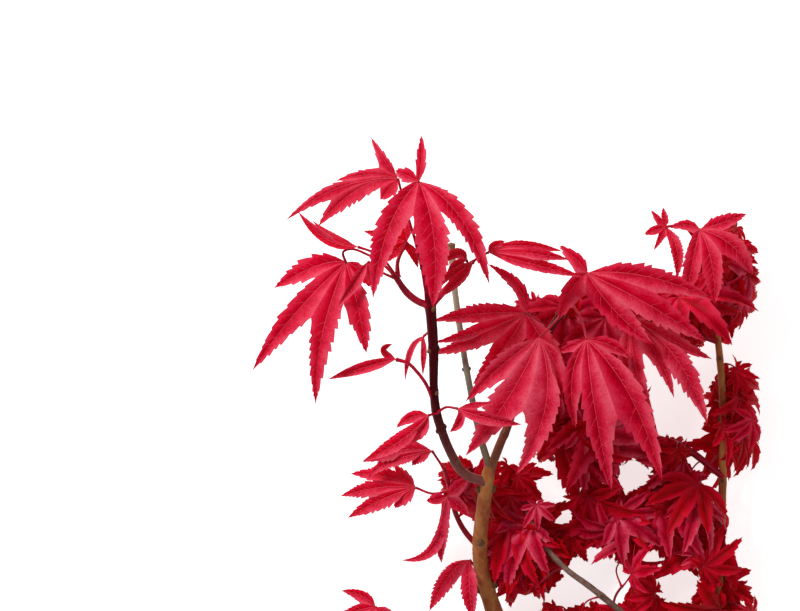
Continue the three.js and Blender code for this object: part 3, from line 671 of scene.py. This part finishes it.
def ramp(tree, source, stops):
    """Colours along a ramp, each as (place, screen colour)."""
    colours = add(tree, "ValToRGB", {"Fac": source}, "Color")
    elements = colours.node.color_ramp.elements
    for element, (place, colour) in zip(elements, (stops[0], stops[-1])):
        element.position = place
        element.color = linear(colour)
    for place, colour in stops[1:-1]:
        elements.new(place).color = linear(colour)
    return colours


def blend_of(tree, one, other, share):
    """A mix of two patterns, with this share of the second."""
    return add(tree, "Mix", {"Factor": share, "A": one, "B": other}, "Result")


def spread(tree, source, low, high, start=0.3, end=0.7):
    """The pattern's values from start to end, spread from low to high."""
    ends = {"From Min": start, "From Max": end, "To Min": low, "To Max": high}
    return add(tree, "MapRange", {"Value": source, **ends}, "Result")


def net(tree, scale):
    """A net of fine veins: 1 on its lines and 0 inside its meshes."""
    place = add(tree, "TexCoord", {}, "Object")
    pattern = add(tree, "TexVoronoi", {"Vector": place, "Scale": scale}, "Distance").node
    pattern.feature = "DISTANCE_TO_EDGE"
    return spread(tree, pattern.outputs["Distance"], 1, 0, 0, 0.1)


def bump(tree, source, strength, depth):
    return add(tree, "Bump", {"Height": source, "Strength": strength, "Distance": depth}, "Normal")


def toned(colour, share):
    """The colour darker for a share below 1 and lighter above it."""
    return tuple(min(255, max(0, round(value * share))) for value in colour)


LEAF_GLOSS = 0.05
SEEN_THROUGH = 0.2  # share of a blade's light that comes through it
GLOW_COLOUR = (222, 4, 28)


def leaf_material(name, dark, colour, painted_sheen_tone):
    """A thin waxy blade that light shows through. Painted shade deepens the red along the midrib creases,
    and a painted sheen makes it paler to the margins and in patches.
    """
    made, tree, shader = material(name)
    clouds = noise(tree, 160, 3, 0.55)
    speckle = noise(tree, 1500, 3, 0.7)
    veins = net(tree, 640)
    pattern = blend_of(tree, blend_of(tree, clouds, speckle, 0.3), veins, 0.1)
    # Darker by the midribs and paler by the margins: painted shade in the creases, painted sheen on the
    # raised margins
    across = add(tree, "Attribute", {}, "Fac")
    across.node.attribute_name = "across"
    pattern = blend_of(tree, pattern, across, 0.3)
    relief = blend_of(tree, noise(tree, 2600, 2, 0.5), veins, 0.3)
    look = {
        "Base Color": ramp(tree, pattern, [(0.34, dark), (0.46, colour), (0.66, painted_sheen_tone)]),
        "Roughness": spread(tree, clouds, 0.42, 0.54),
        "Normal": bump(tree, relief, 0.4, 0.00015),
        "Specular IOR Level": LEAF_GLOSS,
    }
    fill(tree, shader, look)
    through = add(tree, "BsdfTranslucent", {"Color": linear(GLOW_COLOUR)}, "BSDF")
    both = add(tree, "MixShader", {"Fac": SEEN_THROUGH, 1: shader.outputs["BSDF"], 2: through}, "Shader")
    tree.links.new(both, tree.nodes["Material Output"].inputs["Surface"])
    return made


def rise(tree, foot, tip):
    """How far up the branch a point is, from 0 at the foot's Y to 1 at the tip's."""
    place = add(tree, "TexCoord", {}, "Object")
    upward = add(tree, "SeparateXYZ", {"Vector": place}, "Y")
    return spread(tree, upward, 0, 1, *(in_frame([0, end, 0])[1] for end in (foot, tip)))


def plain_material(
    name, stops, scale, roughness, grain, stretch=None, depth=0.00008, gloss=0.15, ends=None
):
    """Bark, stalk or rib: colours along a ramp by noise, with a fine relief.

    With ends, the foot's and the tip's Y, the colours change mostly along the branch."""
    made, tree, shader = material(name)
    clouds = noise(tree, scale, 5, 0.6, stretch)
    place = clouds if ends is None else blend_of(tree, rise(tree, *ends), clouds, 0.22)
    look = {
        "Base Color": ramp(tree, place, stops),
        "Roughness": spread(tree, clouds, roughness + 0.08, roughness - 0.08),
        "Normal": bump(tree, noise(tree, grain, 3, 0.55, stretch), 0.5, depth),
        "Specular IOR Level": gloss,
    }
    fill(tree, shader, look)
    return made


def two_toned(name, low, high, *settings):
    """A plain material between two colours."""
    return plain_material(name, [(0.3, low), (0.7, high)], *settings)


LEAF = {name: leaf_material("leaf_" + name, *colours) for name, colours in SHADES.items()}
VEIN = two_toned("leaf_vein", toned(VEIN_COLOUR, 0.9), toned(VEIN_COLOUR, 1.06), 900, 0.5, 3000)
DARK_VEIN = two_toned("leaf_vein_dark", (150, 20, 36), (176, 34, 50), 900, 0.5, 3000)
STALK = two_toned("leaf_stalk", toned(STALK_COLOUR, 0.75), toned(STALK_COLOUR, 1.15), 400, 0.4, 2500)
TENDER_BARK = two_toned("bark_tender", (124, 0, 22), (172, 14, 44), 500, 0.4, 2600)
TWIG_BARK = two_toned("bark_twig", (100, 4, 18), (142, 18, 36), 500, 0.5, 2600)
DRY_BARK = two_toned("bark_dry", (96, 66, 58), (140, 112, 100), 420, 0.7, 2200)
CUT_WOOD = two_toned("cut_wood", (150, 112, 66), (206, 172, 118), 700, 0.75, 1800)
BUD = two_toned("bud_scale", (74, 34, 24), (112, 78, 46), 900, 0.5, 2600)

OLD_TONES = [(0.25, (122, 56, 30)), (0.45, (152, 84, 44)), (0.6, (162, 106, 56)), (0.8, (140, 108, 60))]
YOUNG_TONES = [(0.25, (50, 0, 4)), (0.5, (76, 0, 10)), (0.75, (108, 8, 24))]
GREY_TONES = [
    (0.1, (100, 84, 66)), (0.35, (112, 112, 96)), (0.6, (160, 158, 138)), (0.82, (176, 172, 150)),
    (0.87, (124, 100, 62)),
]
LEADING_TONES = [
    (0.12, (118, 66, 60)), (0.28, (84, 24, 26)), (0.45, (56, 0, 6)), (0.74, (66, 0, 8)),
    (0.82, (136, 4, 28)),
]
FORKED_TONES = [(0.12, (124, 78, 56)), (0.4, (96, 40, 32)), (0.8, (92, 6, 20))]
SMOOTH = dict(stretch=(1, 0.4, 1), gloss=0.08)
BARK = {
    "old_bark": plain_material("bark_old", OLD_TONES, 330, 0.62, 2200, (1, 0.35, 1), 0.0002),
    "young_bark": plain_material("bark_young", YOUNG_TONES, 500, 0.4, 2600, **SMOOTH),
    "grey_bark": plain_material(
        "bark_grey", GREY_TONES, 420, 0.7, 2000, (1, 0.3, 1), 0.00015, ends=(-54, 21)
    ),
}
LEADING_BARK = plain_material("bark_leading", LEADING_TONES, 500, 0.4, 2600, ends=(-60, 12), **SMOOTH)
FORKED_BARK = plain_material("bark_forked", FORKED_TONES, 500, 0.45, 2600, ends=(-57, 8), **SMOOTH)


# Limbs


def bark_relief(rings, sides, rng, depth):
    """Low ridges that run along the bark, as a share of the radius."""
    turn = np.arange(sides)[None, :] / sides * 2 * math.pi
    far = np.arange(rings)[:, None]
    made = np.zeros((rings, sides))
    for strength in (1, 0.8, 0.6, 0.5, 0.4):
        around = rng.integers(2, 8)
        pitch = rng.uniform(0.05, 0.6)
        drift = rng.uniform(-0.2, 0.2)
        start = rng.uniform(0, 2 * math.pi)
        made += strength * np.sin(around * turn + drift * far + start) * np.cos(pitch * far + start)
    return depth * made / 2 + depth * rng.uniform(-0.5, 0.5, (rings, sides))


RING_STEP = 0.7
LIMB_SHARE = 0.95  # radius of a limb as a share of the model's, before its relief
NODE_SPACING = {"old_bark": 21, "young_bark": 15, "grey_bark": 17}
NODE_SIDE = 6  # length before a node from which its own collar counts
COLLAR_WIDTH = 1.1  # squared length over which a collar fades
COLLAR_HEIGHT = 0.1  # as a share of the radius
RELIEF = {"old_bark": 0.035, "young_bark": 0.02, "grey_bark": 0.04}
LIMB_SIDES = {"old_bark": 20, "young_bark": 14, "grey_bark": 14}
TENDER = ["left_side_shoot", "right_side_shoot", "left_twig", "centre_twig", "middle_twig", "upper_twig"]
LIMB_LOOKS = {
    "leading_shoot": LEADING_BARK,
    "right_shoot": FORKED_BARK,
    "inward_twig": DRY_BARK,
    **dict.fromkeys(TENDER, TENDER_BARK),
}
BUD_OUTLINE = np.array([0.5, 0.8, 0.86, 0.7, 0.4, 0.06])  # radii from foot to tip
# How far a bud's foot is from the limb's middle, its length and half width, as shares of the radius
BUD_FOOT, BUD_LENGTH, BUD_WIDTH = 0.75, 1.2, 0.6
BUD_LEAN = 0.45  # how far a bud leans out, as a share of how far it points ahead
BUD_SIDES = 8


def add_buds(pile, line, spacing):
    """Pairs of small buds at the nodes of a limb, each pair square to the one before it."""
    ahead, side, up = frames(line[:, :3])
    step = round(spacing / RING_STEP)
    for number, at in enumerate(range(step, len(line) - step // 2, step)):
        across = side[at] if number % 2 else up[at]
        radius = line[at, 3]
        for way in (across, -across):
            foot = line[at, :3] + way * radius * BUD_FOOT
            lean = unit(ahead[at] + BUD_LEAN * way)
            share = np.linspace(0, 1, len(BUD_OUTLINE))[:, None]
            middles = foot + lean * share * radius * BUD_LENGTH
            tube(pile, middles, BUD_OUTLINE * radius * BUD_WIDTH, BUD_SIDES, slot=1)


def make_limb(name, rng):
    """A limb with its bark's relief and a low collar at each of its nodes."""
    bark = LIMBS[name][0]
    line = limb_line(name, RING_STEP)
    sides = LIMB_SIDES[bark]
    far = np.arange(len(line)) * RING_STEP
    from_node = (far + NODE_SIDE) % NODE_SPACING[bark] - NODE_SIDE
    collar = np.exp(-(from_node**2) / COLLAR_WIDTH)
    foot = None
    if name == "main_stem":
        foot = np.array([0, 1.0, 0])
        collar[far < NODE_SPACING[bark] / 2] = 0
    relief = bark_relief(len(line), sides, rng, RELIEF[bark]) + COLLAR_HEIGHT * collar[:, None]
    pile = Pile()
    tube(pile, line[:, :3], line[:, 3] * LIMB_SHARE, sides, relief, foot)
    add_buds(pile, line, NODE_SPACING[bark])
    pile.piece(name + "_bark", [LIMB_LOOKS.get(name, BARK[bark]), BUD], bark, [name])


rng = np.random.default_rng(5)
for limb_name in LIMBS:
    make_limb(limb_name, rng)


CUT_RINGS = 9
CUT_SIDES = 24
CUT_RADIUS = 3.0
RING_LEVELS = (0.06, 0.11)  # how far the rings of the wood are past the stem's end, by turns


def cut_face(name, middle, way, finish):
    """The pale wood of a cut end, with low rings."""
    turn = np.arange(CUT_SIDES) / CUT_SIDES * 2 * math.pi
    side = unit(np.cross(way, UP))
    up = np.cross(side, way)
    spokes = side * np.cos(turn)[:, None] + up * np.sin(turn)[:, None]
    rings = []
    for number, share in enumerate(np.linspace(0, 1, CUT_RINGS)):
        ring = spokes * (CUT_RADIUS * share + NEARLY_ZERO)
        rings.append(middle + way * RING_LEVELS[number % 2] + ring)
    pile = Pile()
    pile.add(np.concatenate(rings), grid_faces(CUT_RINGS, CUT_SIDES, closed=True))
    pile.piece(name, [CUT_WOOD], finish)


cut_face("stem_cut_wood", CUT_END, np.array([0, -1.0, 0]), "old_bark")


# Single leaves

STALK_SIDES = 7


def make_stalk(pile, points, thick, slot=0):
    """A leaf stalk, thicker at its foot and where the lobes meet."""
    line = evenly(smooth_line([[*point, 0] for point in points]), 1)[:, :3]
    share = np.linspace(0, 1, len(line))
    at_foot = 0.8 * np.exp(-share * 8)
    at_lobes = 0.3 * np.exp((share - 1) * 12)
    tube(pile, line, thick * (1 + at_foot - 0.1 * share + at_lobes), STALK_SIDES, slot=slot)


for number, (leaf_name, part) in enumerate(LEAVES.items()):
    shade, fold, stalk, rows, web, teeth, thick = part
    rng = np.random.default_rng(100 + number)
    leaf_pile, vein_pile, stalk_pile = Pile(), Pile(), Pile()
    lobes = [(row[:3], row[3:6], row[6]) for row in rows]
    blade((leaf_pile, vein_pile), stalk[-1], lobes, UP, rng, FINE, fold, web, teeth, (0, 1))
    make_stalk(stalk_pile, stalk, thick)
    # The second material is the painted sheen on the halves that face the lamp
    leaf_pile.piece(leaf_name + "_blade", [LEAF[shade], LEAF[PAINTED_SHEEN[shade]]], "leaf", [leaf_name])
    vein_pile.piece(leaf_name + "_veins", [VEIN], "leaf")
    stalk_pile.piece(leaf_name + "_stalk", [STALK], "leaf")


# Foliage

CELL = 0.5  # size of a cell of the map that is laid over the drawing
MAP_LOW = np.array([-75.0, -150.0])
MAP_SIZE = (440, 480)
ROOM_MARGIN = 5  # cells by which leaves may reach past the masses
SHADOW_POINTS = 13  # points along the edges of a triangle that are marked on the map
FAR_OVER = 1e3  # over all of the branch


def seen(points):
    """Where the camera sees the points, on the plane at focus height."""
    away = DISTANCE + FOCUS_HEIGHT - points[..., 2]
    return points[..., :2] * (DISTANCE / away)[..., None]


def cells(points):
    """Cells of the map that the points are seen in."""
    places = ((seen(points) - MAP_LOW) / CELL).astype(int)
    return tuple(np.clip(places[..., i], 0, MAP_SIZE[i] - 1) for i in (0, 1))


def widened(mask, times):
    for _ in range(times):
        wide = mask.copy()
        wide[1:] |= mask[:-1]
        wide[:-1] |= mask[1:]
        wide[:, 1:] |= mask[:, :-1]
        wide[:, :-1] |= mask[:, 1:]
        mask = wide
    return mask


def shadow(names):
    """The cells that these nodes of the model are seen in."""
    mask = np.zeros(MAP_SIZE, bool)
    share = np.linspace(0, 1, SHADOW_POINTS)
    first, second = np.meshgrid(share, share)
    keep = first + second <= 1 + NEARLY_ZERO
    first, second = first[keep][:, None], second[keep][:, None]
    for name in names:
        mesh = frame["nodes"][name].data
        corners = np.array([v.co for v in mesh.vertices], float) / MM - SHIFT
        mesh.calc_loop_triangles()
        for triangle in mesh.loop_triangles:
            a, b, c = (corners[i] for i in triangle.vertices)
            mask[cells(a + (b - a) * first + (c - a) * second)] = True
    return mask


middles_x, middles_y = (MAP_LOW[i] + CELL * (np.arange(MAP_SIZE[i]) + 0.5) for i in (0, 1))


def inside_ellipse(centre, reach):
    """The cells inside an upright ellipse with this centre and these half sizes."""
    across = (middles_x[:, None] - centre[0]) / reach[0]
    upward = (middles_y[None, :] - centre[1]) / reach[1]
    return across**2 + upward**2 < 1


sky = np.zeros(MAP_SIZE, bool)
for sky_x, sky_y, half_x, half_y in SKY:
    sky |= inside_ellipse((sky_x, sky_y), (half_x, half_y))
room = widened(shadow(MASSES), ROOM_MARGIN) & ~sky

# Lowest height of a stem over each cell, because the photograph shows these in front of the foliage
stem_height = np.full(MAP_SIZE, FAR_OVER)
for limb_name in ("main_stem", "right_shoot", "leading_shoot", "bare_leader"):
    line = limb_line(limb_name, 0.4)
    for offset in np.linspace(-1, 1, 7):
        spots = cells(line[:, :3] + np.array([1.0, 0, 0]) * (offset * line[:, 3:4]))
        stem_height[spots] = np.minimum(stem_height[spots], line[:, 2] - line[:, 3])

covered = np.zeros(MAP_SIZE, int)

LOBE_ANGLES = np.array([0, 36, -36, 76, -76, 118, -118])
LOBE_LENGTHS = np.array([1, 0.92, 0.92, 0.66, 0.66, 0.34, 0.34])  # as a share of the longest lobe
LOBE_WIDTH = 0.125  # half width as a share of the longest lobe
BASAL_LOBE = 0.5  # lobes shorter than this are missing from some leaves
MISSING = 0.35  # share of these lobes that is missing
TILT = 0.95  # most that a blade leans from level, in radians
HEADING_SPREAD = 1.1  # how far leaves stray from pointing to the photograph's foot, in radians
LOBE_SWING = 7  # most that a lobe strays from its angle, in degrees
DROOP = (0.08, 0.3)  # how far the tips hang, as a share of their reach


def drawn_leaves(rng, count, centre, radii, sizes):
    """Leaves drawn at random in a mass: bases, axes, normals, longest lobes, and for each lobe of each leaf
    its middle, tip, half width and whether it is there."""
    lobes = (count, len(LOBE_LENGTHS))
    way = unit(rng.normal(size=(count, 3))) * rng.uniform(0.1, 0.95, (count, 1)) ** 0.5
    base = centre + way * radii
    size = rng.uniform(*sizes, count)
    tilt = rng.uniform(0, TILT, count)
    lean = rng.uniform(0, 2 * math.pi, count)
    normal = np.stack([np.sin(tilt) * np.cos(lean), np.sin(tilt) * np.sin(lean), np.cos(tilt)], axis=1)
    heading = -math.pi / 2 + rng.normal(0, HEADING_SPREAD, count)
    level = np.stack([np.cos(heading), np.sin(heading), np.zeros(count)], axis=1)
    axis = unit(level - normal * (level * normal).sum(axis=1, keepdims=True))
    turn = np.radians(LOBE_ANGLES + rng.uniform(-LOBE_SWING, LOBE_SWING, lobes))[..., None]
    ways = axis[:, None] * np.cos(turn) + np.cross(normal, axis)[:, None] * np.sin(turn)
    reach = (size[:, None] * LOBE_LENGTHS * rng.uniform(0.9, 1.08, lobes))[..., None]
    droop = rng.uniform(*DROOP, (count, 1, 1))
    tips = base[:, None] + (ways - normal[:, None] * droop) * reach
    middles = base[:, None] + (ways * 0.52 + normal[:, None] * 0.04) * reach
    halves = size[:, None] * LOBE_WIDTH * LOBE_LENGTHS**0.5 * rng.uniform(0.9, 1.1, lobes)
    there = (LOBE_LENGTHS > BASAL_LOBE) | (rng.random(lobes) > MISSING)
    return base, axis, normal, size, middles, tips, halves, there


SAMPLE_SHARES = np.array([0.1, 0.22, 0.34, 0.46, 0.58, 0.7, 0.82, 0.92, 1.0])
SAMPLE_WIDTHS = np.array([-0.9, 0, 0.9])
SAMPLE_MARGIN = 2  # cells round a sample that its leaf covers


def leaf_samples(base, normal, middles, tips, halves):
    """Points spread over the lobes of one leaf or of several."""
    start = base[..., None, :]
    lines = arc(start[..., None, :], middles[..., None, :], tips[..., None, :], SAMPLE_SHARES[:, None])
    sides = unit(np.cross(tips - start, normal[..., None, :]))
    spans = (halves[..., None] * outline(SAMPLE_SHARES))[..., None] * SAMPLE_WIDTHS
    return lines[..., None, :] + sides[..., None, None, :] * spans[..., None]


cad_low = np.array(cad_box[0]) / MM - SHIFT
cad_high = np.array(cad_box[1]) / MM - SHIFT
FLOOR_CLEARANCE = 0.9
BOX_CLEARANCE = 0.3
STEM_CLEARANCE = 0.5
# What a sample of a leaf earns as the first or second over a cell of the room, and what it costs outside
# the room, over a stem, too near the floor, over the top of its mass and past the model's box
FIRST, SECOND = 1.0, 0.35
OUTSIDE, OVER_STEM, TOO_LOW, TOO_HIGH, PAST_BOX = 2.0, 5, 4, 1.0, 6


def worth(samples, there, top, sky_loss):
    """How well each leaf fills the room that is left, less what it takes from the sky and the stems."""
    spots = cells(samples)
    height = samples[..., 2]
    inside = room[spots]
    beyond = ((samples < cad_low + BOX_CLEARANCE) | (samples > cad_high - BOX_CLEARANCE)).any(axis=-1)
    over_stem = height > stem_height[spots] - STEM_CLEARANCE
    value = inside * (FIRST * (covered[spots] == 0) + SECOND * (covered[spots] == 1))
    value -= OUTSIDE * ~inside + sky_loss * sky[spots] + OVER_STEM * over_stem
    value -= TOO_LOW * (height < FLOOR_CLEARANCE) + TOO_HIGH * (height > top) + PAST_BOX * beyond
    return (value * there[..., None, None]).sum(axis=(1, 2, 3))


def cover(samples):
    """Counts one leaf more over the cells near its samples."""
    near = np.zeros(MAP_SIZE, bool)
    near[cells(samples)] = True
    covered[widened(near, SAMPLE_MARGIN)] += 1


for _, _, stalk, rows, *_ in LEAVES.values():
    lobes = vectors(rows)
    cover(leaf_samples(vectors(stalk[-1]), UP, lobes[:, :3], lobes[:, 3:6], lobes[:, 6]))

TRIES = 120
LARGEST_LOBE = 31
# First the large leaves, then small ones in what is left: their least and greatest longest lobe, the area
# of a mass's outline for each, and how much they lose for each sample over the sky
PASSES = [((16, LARGEST_LOBE), 34, 12), ((8, 17), 20, 4)]
FEWEST = 7  # samples by which a leaf has to be worth its place
AIMED_AT = 0.4  # share of the longest lobe from the base to the point that is put over a bare spot


def best_leaf(rng, centre, radii, sizes, sky_loss):
    """The best of many leaves drawn in a mass. Every other one is moved level, over a spot still bare."""
    drawn = drawn_leaves(rng, TRIES, centre, radii, sizes)
    base, axis, normal, size, middles, tips, halves, there = drawn
    bare = np.argwhere(room & (covered == 0) & inside_ellipse(seen(centre), radii))
    if len(bare):
        spots = MAP_LOW + CELL * (bare[rng.integers(len(bare), size=TRIES // 2)] + 0.5)
        aim = base[::2] + axis[::2] * size[::2, None] * AIMED_AT
        nearer = (DISTANCE + FOCUS_HEIGHT - aim[:, 2:]) / DISTANCE
        shift = np.concatenate([spots * nearer - aim[:, :2], np.zeros((len(aim), 1))], axis=1)
        base[::2] += shift
        middles[::2] += shift[:, None]
        tips[::2] += shift[:, None]
    samples = leaf_samples(base, normal, middles, tips, halves)
    values = worth(samples, there, centre[2] + radii[2] + 1, sky_loss) * (size / sizes[1]) ** 0.5
    best = int(values.argmax())
    lobes = [list(lobe) for lobe in zip(middles[best], tips[best], halves[best])]
    lobes = [lobe for lobe, grown in zip(lobes, there[best]) if grown]
    leaf = (base[best], lobes, normal[best], axis[best], size[best])
    return values[best], samples[best][there[best]], leaf


plans = {name: [] for name in MASSES}
rng = np.random.default_rng(300)
for sizes, area, sky_loss in PASSES:
    for mass_name, (centre, radii) in MASSES.items():
        centre, radii = vectors(centre), vectors(radii)
        for _ in range(round(math.pi * radii[0] * radii[1] / area)):
            value, samples, leaf = best_leaf(rng, centre, radii, sizes, sky_loss)
            if value > FEWEST or not plans[mass_name]:
                plans[mass_name].append(leaf)
                cover(samples)

# The skeleton that the foliage grows on: places, the direction of growth at each, the place that each
# grows from, and the leaves it carries
skeleton = []
growth = []
parents = []
carried = []
TWIG_STEP = 1.2
LIMB_STEP = 1.5
LOWEST_TWIG = 1
LOWEST_FOOT = 1.2  # of a leaf stalk
# A place counts as this much farther where it grows square to the way to the stalk's foot, and less by the
# second where it grows straight there
SQUARE, STRAIGHT = 1.3, 0.5
HOMING = 1.4  # how soon a twig turns to that foot
LEAVING, ARRIVING = 0.4, 0.35  # lengths of the curve's handles as shares of the distance


def grow_line(places, parent):
    """Adds a line of places to the skeleton, and returns their numbers."""
    made = []
    for place, way in zip(places, unit(np.gradient(places, axis=0))):
        skeleton.append(place)
        growth.append(way)
        parents.append(parent)
        carried.append(0)
        made.append(len(skeleton) - 1)
        if parent is not None:
            parent = made[-1]
    return made


def carry(at):
    """One leaf more for this place and all that it grows from."""
    while at is not None:
        carried[at] += 1
        at = parents[at]


def twig_to(foot, back):
    """Grows a twig from the skeleton to the foot of a leaf stalk, which it meets without a kink.

    back points from the foot away from the leaf. Returns the numbers of the twig's places."""
    places = np.array(skeleton)
    gaps = foot - places
    far = np.linalg.norm(gaps, axis=1)
    forward = (gaps * np.array(growth)).sum(axis=1) / np.maximum(far, 1e-6)
    nearest = int(np.argmin(far * (SQUARE - STRAIGHT * forward)))
    start = places[nearest]
    reach = far[nearest]
    leave = start + unit(growth[nearest] + HOMING * unit(foot - start)) * reach * LEAVING
    arrive = foot + back * reach * ARRIVING
    t = np.linspace(0, 1, max(5, round(reach / TWIG_STEP)))[:, None]
    line = (1 - t) ** 3 * start + 3 * (1 - t) ** 2 * t * leave + 3 * (1 - t) * t**2 * arrive + t**3 * foot
    line[:, 2] = np.maximum(line[:, 2], LOWEST_TWIG)
    chain = [nearest, *grow_line(line[1:], nearest)]
    carry(chain[-1])
    return chain


for limb_name in LIMBS:
    if limb_name not in ("left_side_shoot", "right_side_shoot", "leading_shoot", "bare_leader"):
        grow_line(limb_line(limb_name, LIMB_STEP)[2:, :3], None)
limb_places = np.array(skeleton)

# The leaves nearest to a limb grow first, and the others may grow on from their twigs
jobs = []
for mass_name, chosen in plans.items():
    for leaf in chosen:
        jobs.append((np.linalg.norm(limb_places - leaf[0], axis=1).min(), mass_name, leaf))
jobs.sort(key=lambda job: job[0])

STALK_LENGTHS = (0.4, 0.7)  # as a share of the longest lobe
NO_TWIG = 1.4  # up to this many stalk lengths from the skeleton, a stalk grows straight from it
# How a stalk leaves its leaf: away from the lobes, under the blade and towards the skeleton
BACK, UNDER, HOME = 0.45, 0.3, 0.9
BEND = 0.4  # share of a stalk that it keeps to the blade's own line
rng = np.random.default_rng(77)
twigs = {name: [] for name in MASSES}
stalks = {name: [] for name in MASSES}
for _, mass_name, (base, lobes, normal, axis, size) in jobs:
    gaps = np.array(skeleton) - base
    far = np.linalg.norm(gaps, axis=1)
    nearest = int(far.argmin())
    reach = size * rng.uniform(*STALK_LENGTHS)
    if far[nearest] < reach * NO_TWIG:
        reach = far[nearest]
        foot = skeleton[nearest]
        carry(nearest)
    else:
        home = gaps[nearest] / far[nearest]
        back = unit(-BACK * axis - UNDER * normal + HOME * home)
        foot = base + back * reach
        foot[2] = max(foot[2], LOWEST_FOOT)
        twigs[mass_name].append(twig_to(foot, unit(back + home)))
    bend = base + unit(-axis - UNDER * normal) * reach * BEND
    stalks[mass_name].append([foot, (foot + bend) / 2, base])


# Lower leaves of the foliage get darker shades: painted shade for the shadow of the leaves above them
SHADE_HEIGHT = 46  # heights count as shares of this where shades are chosen
SHADE_SPREAD = 0.16  # how far these shares stray
DARK_UP_TO, DEEP_UP_TO = 0.28, 0.55
CRIMSON_SHARE = 0.6


def painted_depth_shade(height, rng):
    """The shade of a leaf of the foliage, darker the lower it is, as painted shade under the leaves above.
    """
    level = height / SHADE_HEIGHT + rng.normal(0, SHADE_SPREAD)
    if level < DARK_UP_TO:
        return "dark"
    if level < DEEP_UP_TO:
        return "deep"
    return "crimson" if rng.random() < CRIMSON_SHARE else "scarlet"


FOLIAGE_FOLD = 0.4
FOLIAGE_STALK = 0.3  # radius of a stalk
TWIG_RADIUS = 0.34  # of a twig that carries one leaf
TWIG_GAIN = 0.36  # power of the number of leaves that the radius grows with
TWIG_SIDES = 6
FEWEST_LONG_ROWS = 12  # along the longest lobe of a small leaf
names = sorted(SHADES)
for number, (mass_name, chosen) in enumerate(plans.items()):
    rng = np.random.default_rng(500 + number)
    leaf_pile, vein_pile, twig_pile = Pile(), Pile(), Pile()
    for base, lobes, normal, axis, size in chosen:
        shade = painted_depth_shade(base[2], rng)
        # The half of each lobe that faces the lamp takes a paler shade as painted sheen
        slots = (names.index(shade), names.index(FOLIAGE_PAINTED_SHEEN[shade]))
        rows = round(size * COARSE["rows"] / LARGEST_LOBE)
        style = {**COARSE, "rows": max(FEWEST_LONG_ROWS, rows)}
        blade((leaf_pile, vein_pile), base, lobes, normal, rng, style, FOLIAGE_FOLD, slots=slots)
    for chain in twigs[mass_name]:
        line = np.array([skeleton[i] for i in chain])
        load = np.array([carried[i] for i in [chain[1], *chain[1:]]], float)
        tube(twig_pile, line, TWIG_RADIUS * np.maximum(load, 1) ** TWIG_GAIN, TWIG_SIDES)
    for line in stalks[mass_name]:
        make_stalk(twig_pile, line, FOLIAGE_STALK, slot=1)
    leaf_pile.piece(mass_name + "_leaves", [LEAF[name] for name in names], "shaded_leaf", [mass_name])
    vein_pile.piece(mass_name + "_veins", [DARK_VEIN], "shaded_leaf")
    twig_pile.piece(mass_name + "_twigs", [TWIG_BARK, STALK], "young_bark")


# Floor, light and camera

FLOOR_RADIUS = 12
FLOOR_SIDES = 96
FLOOR_LEVEL = -0.0002  # a little under the lowest bark
LIT_PLACE = [40, -40, 30]  # what the lamps point at, in the drawing


def place_camera():
    camera = bpy.data.cameras.new("camera")
    camera.lens = LENS
    camera.sensor_width = SENSOR
    camera.clip_start = 0.05
    camera.clip_end = 100
    made = new_object("camera", camera)
    made.location = in_frame([0, 0, FOCUS_HEIGHT + DISTANCE])
    bpy.context.scene.camera = made


def area_light(name, place, size, power):
    lamp = bpy.data.lights.new(name, "AREA")
    lamp.shape = "DISK"
    lamp.size = size
    lamp.energy = power
    made = new_object(name, lamp)
    made.location = place
    aim = in_frame(LIT_PLACE) - np.array(place)
    made.rotation_euler = Vector(aim.tolist()).to_track_quat("-Z", "Y").to_euler()


def make_floor():
    shape = dict(vertices=FLOOR_SIDES, radius=FLOOR_RADIUS, fill_type="NGON")
    bpy.ops.mesh.primitive_circle_add(**shape, location=(0, 0, FLOOR_LEVEL))
    floor = bpy.context.object
    floor.name = "floor"
    made, tree, shader = material("floor_white")
    look = {
        "Base Color": linear(FLOOR_COLOUR),
        "Roughness": 0.9,
        "Specular IOR Level": 0.1,
        "Emission Color": WHITE,
        "Emission Strength": FLOOR_GLOW,
    }
    fill(tree, shader, look)
    floor.data.materials.append(made)


def light_world():
    world = bpy.data.worlds.new("studio")
    bpy.context.scene.world = world
    world.use_nodes = True
    fill(world.node_tree, world.node_tree.nodes["Background"], {"Color": WHITE, "Strength": WORLD_GLOW})


place_camera()
make_floor()
light_world()
area_light("key", LIGHT_FROM, size=0.6, power=39)
area_light("fill", (1.2, -0.4, 1.4), size=1.2, power=5)
bpy.context.scene.view_settings.view_transform = "Standard"
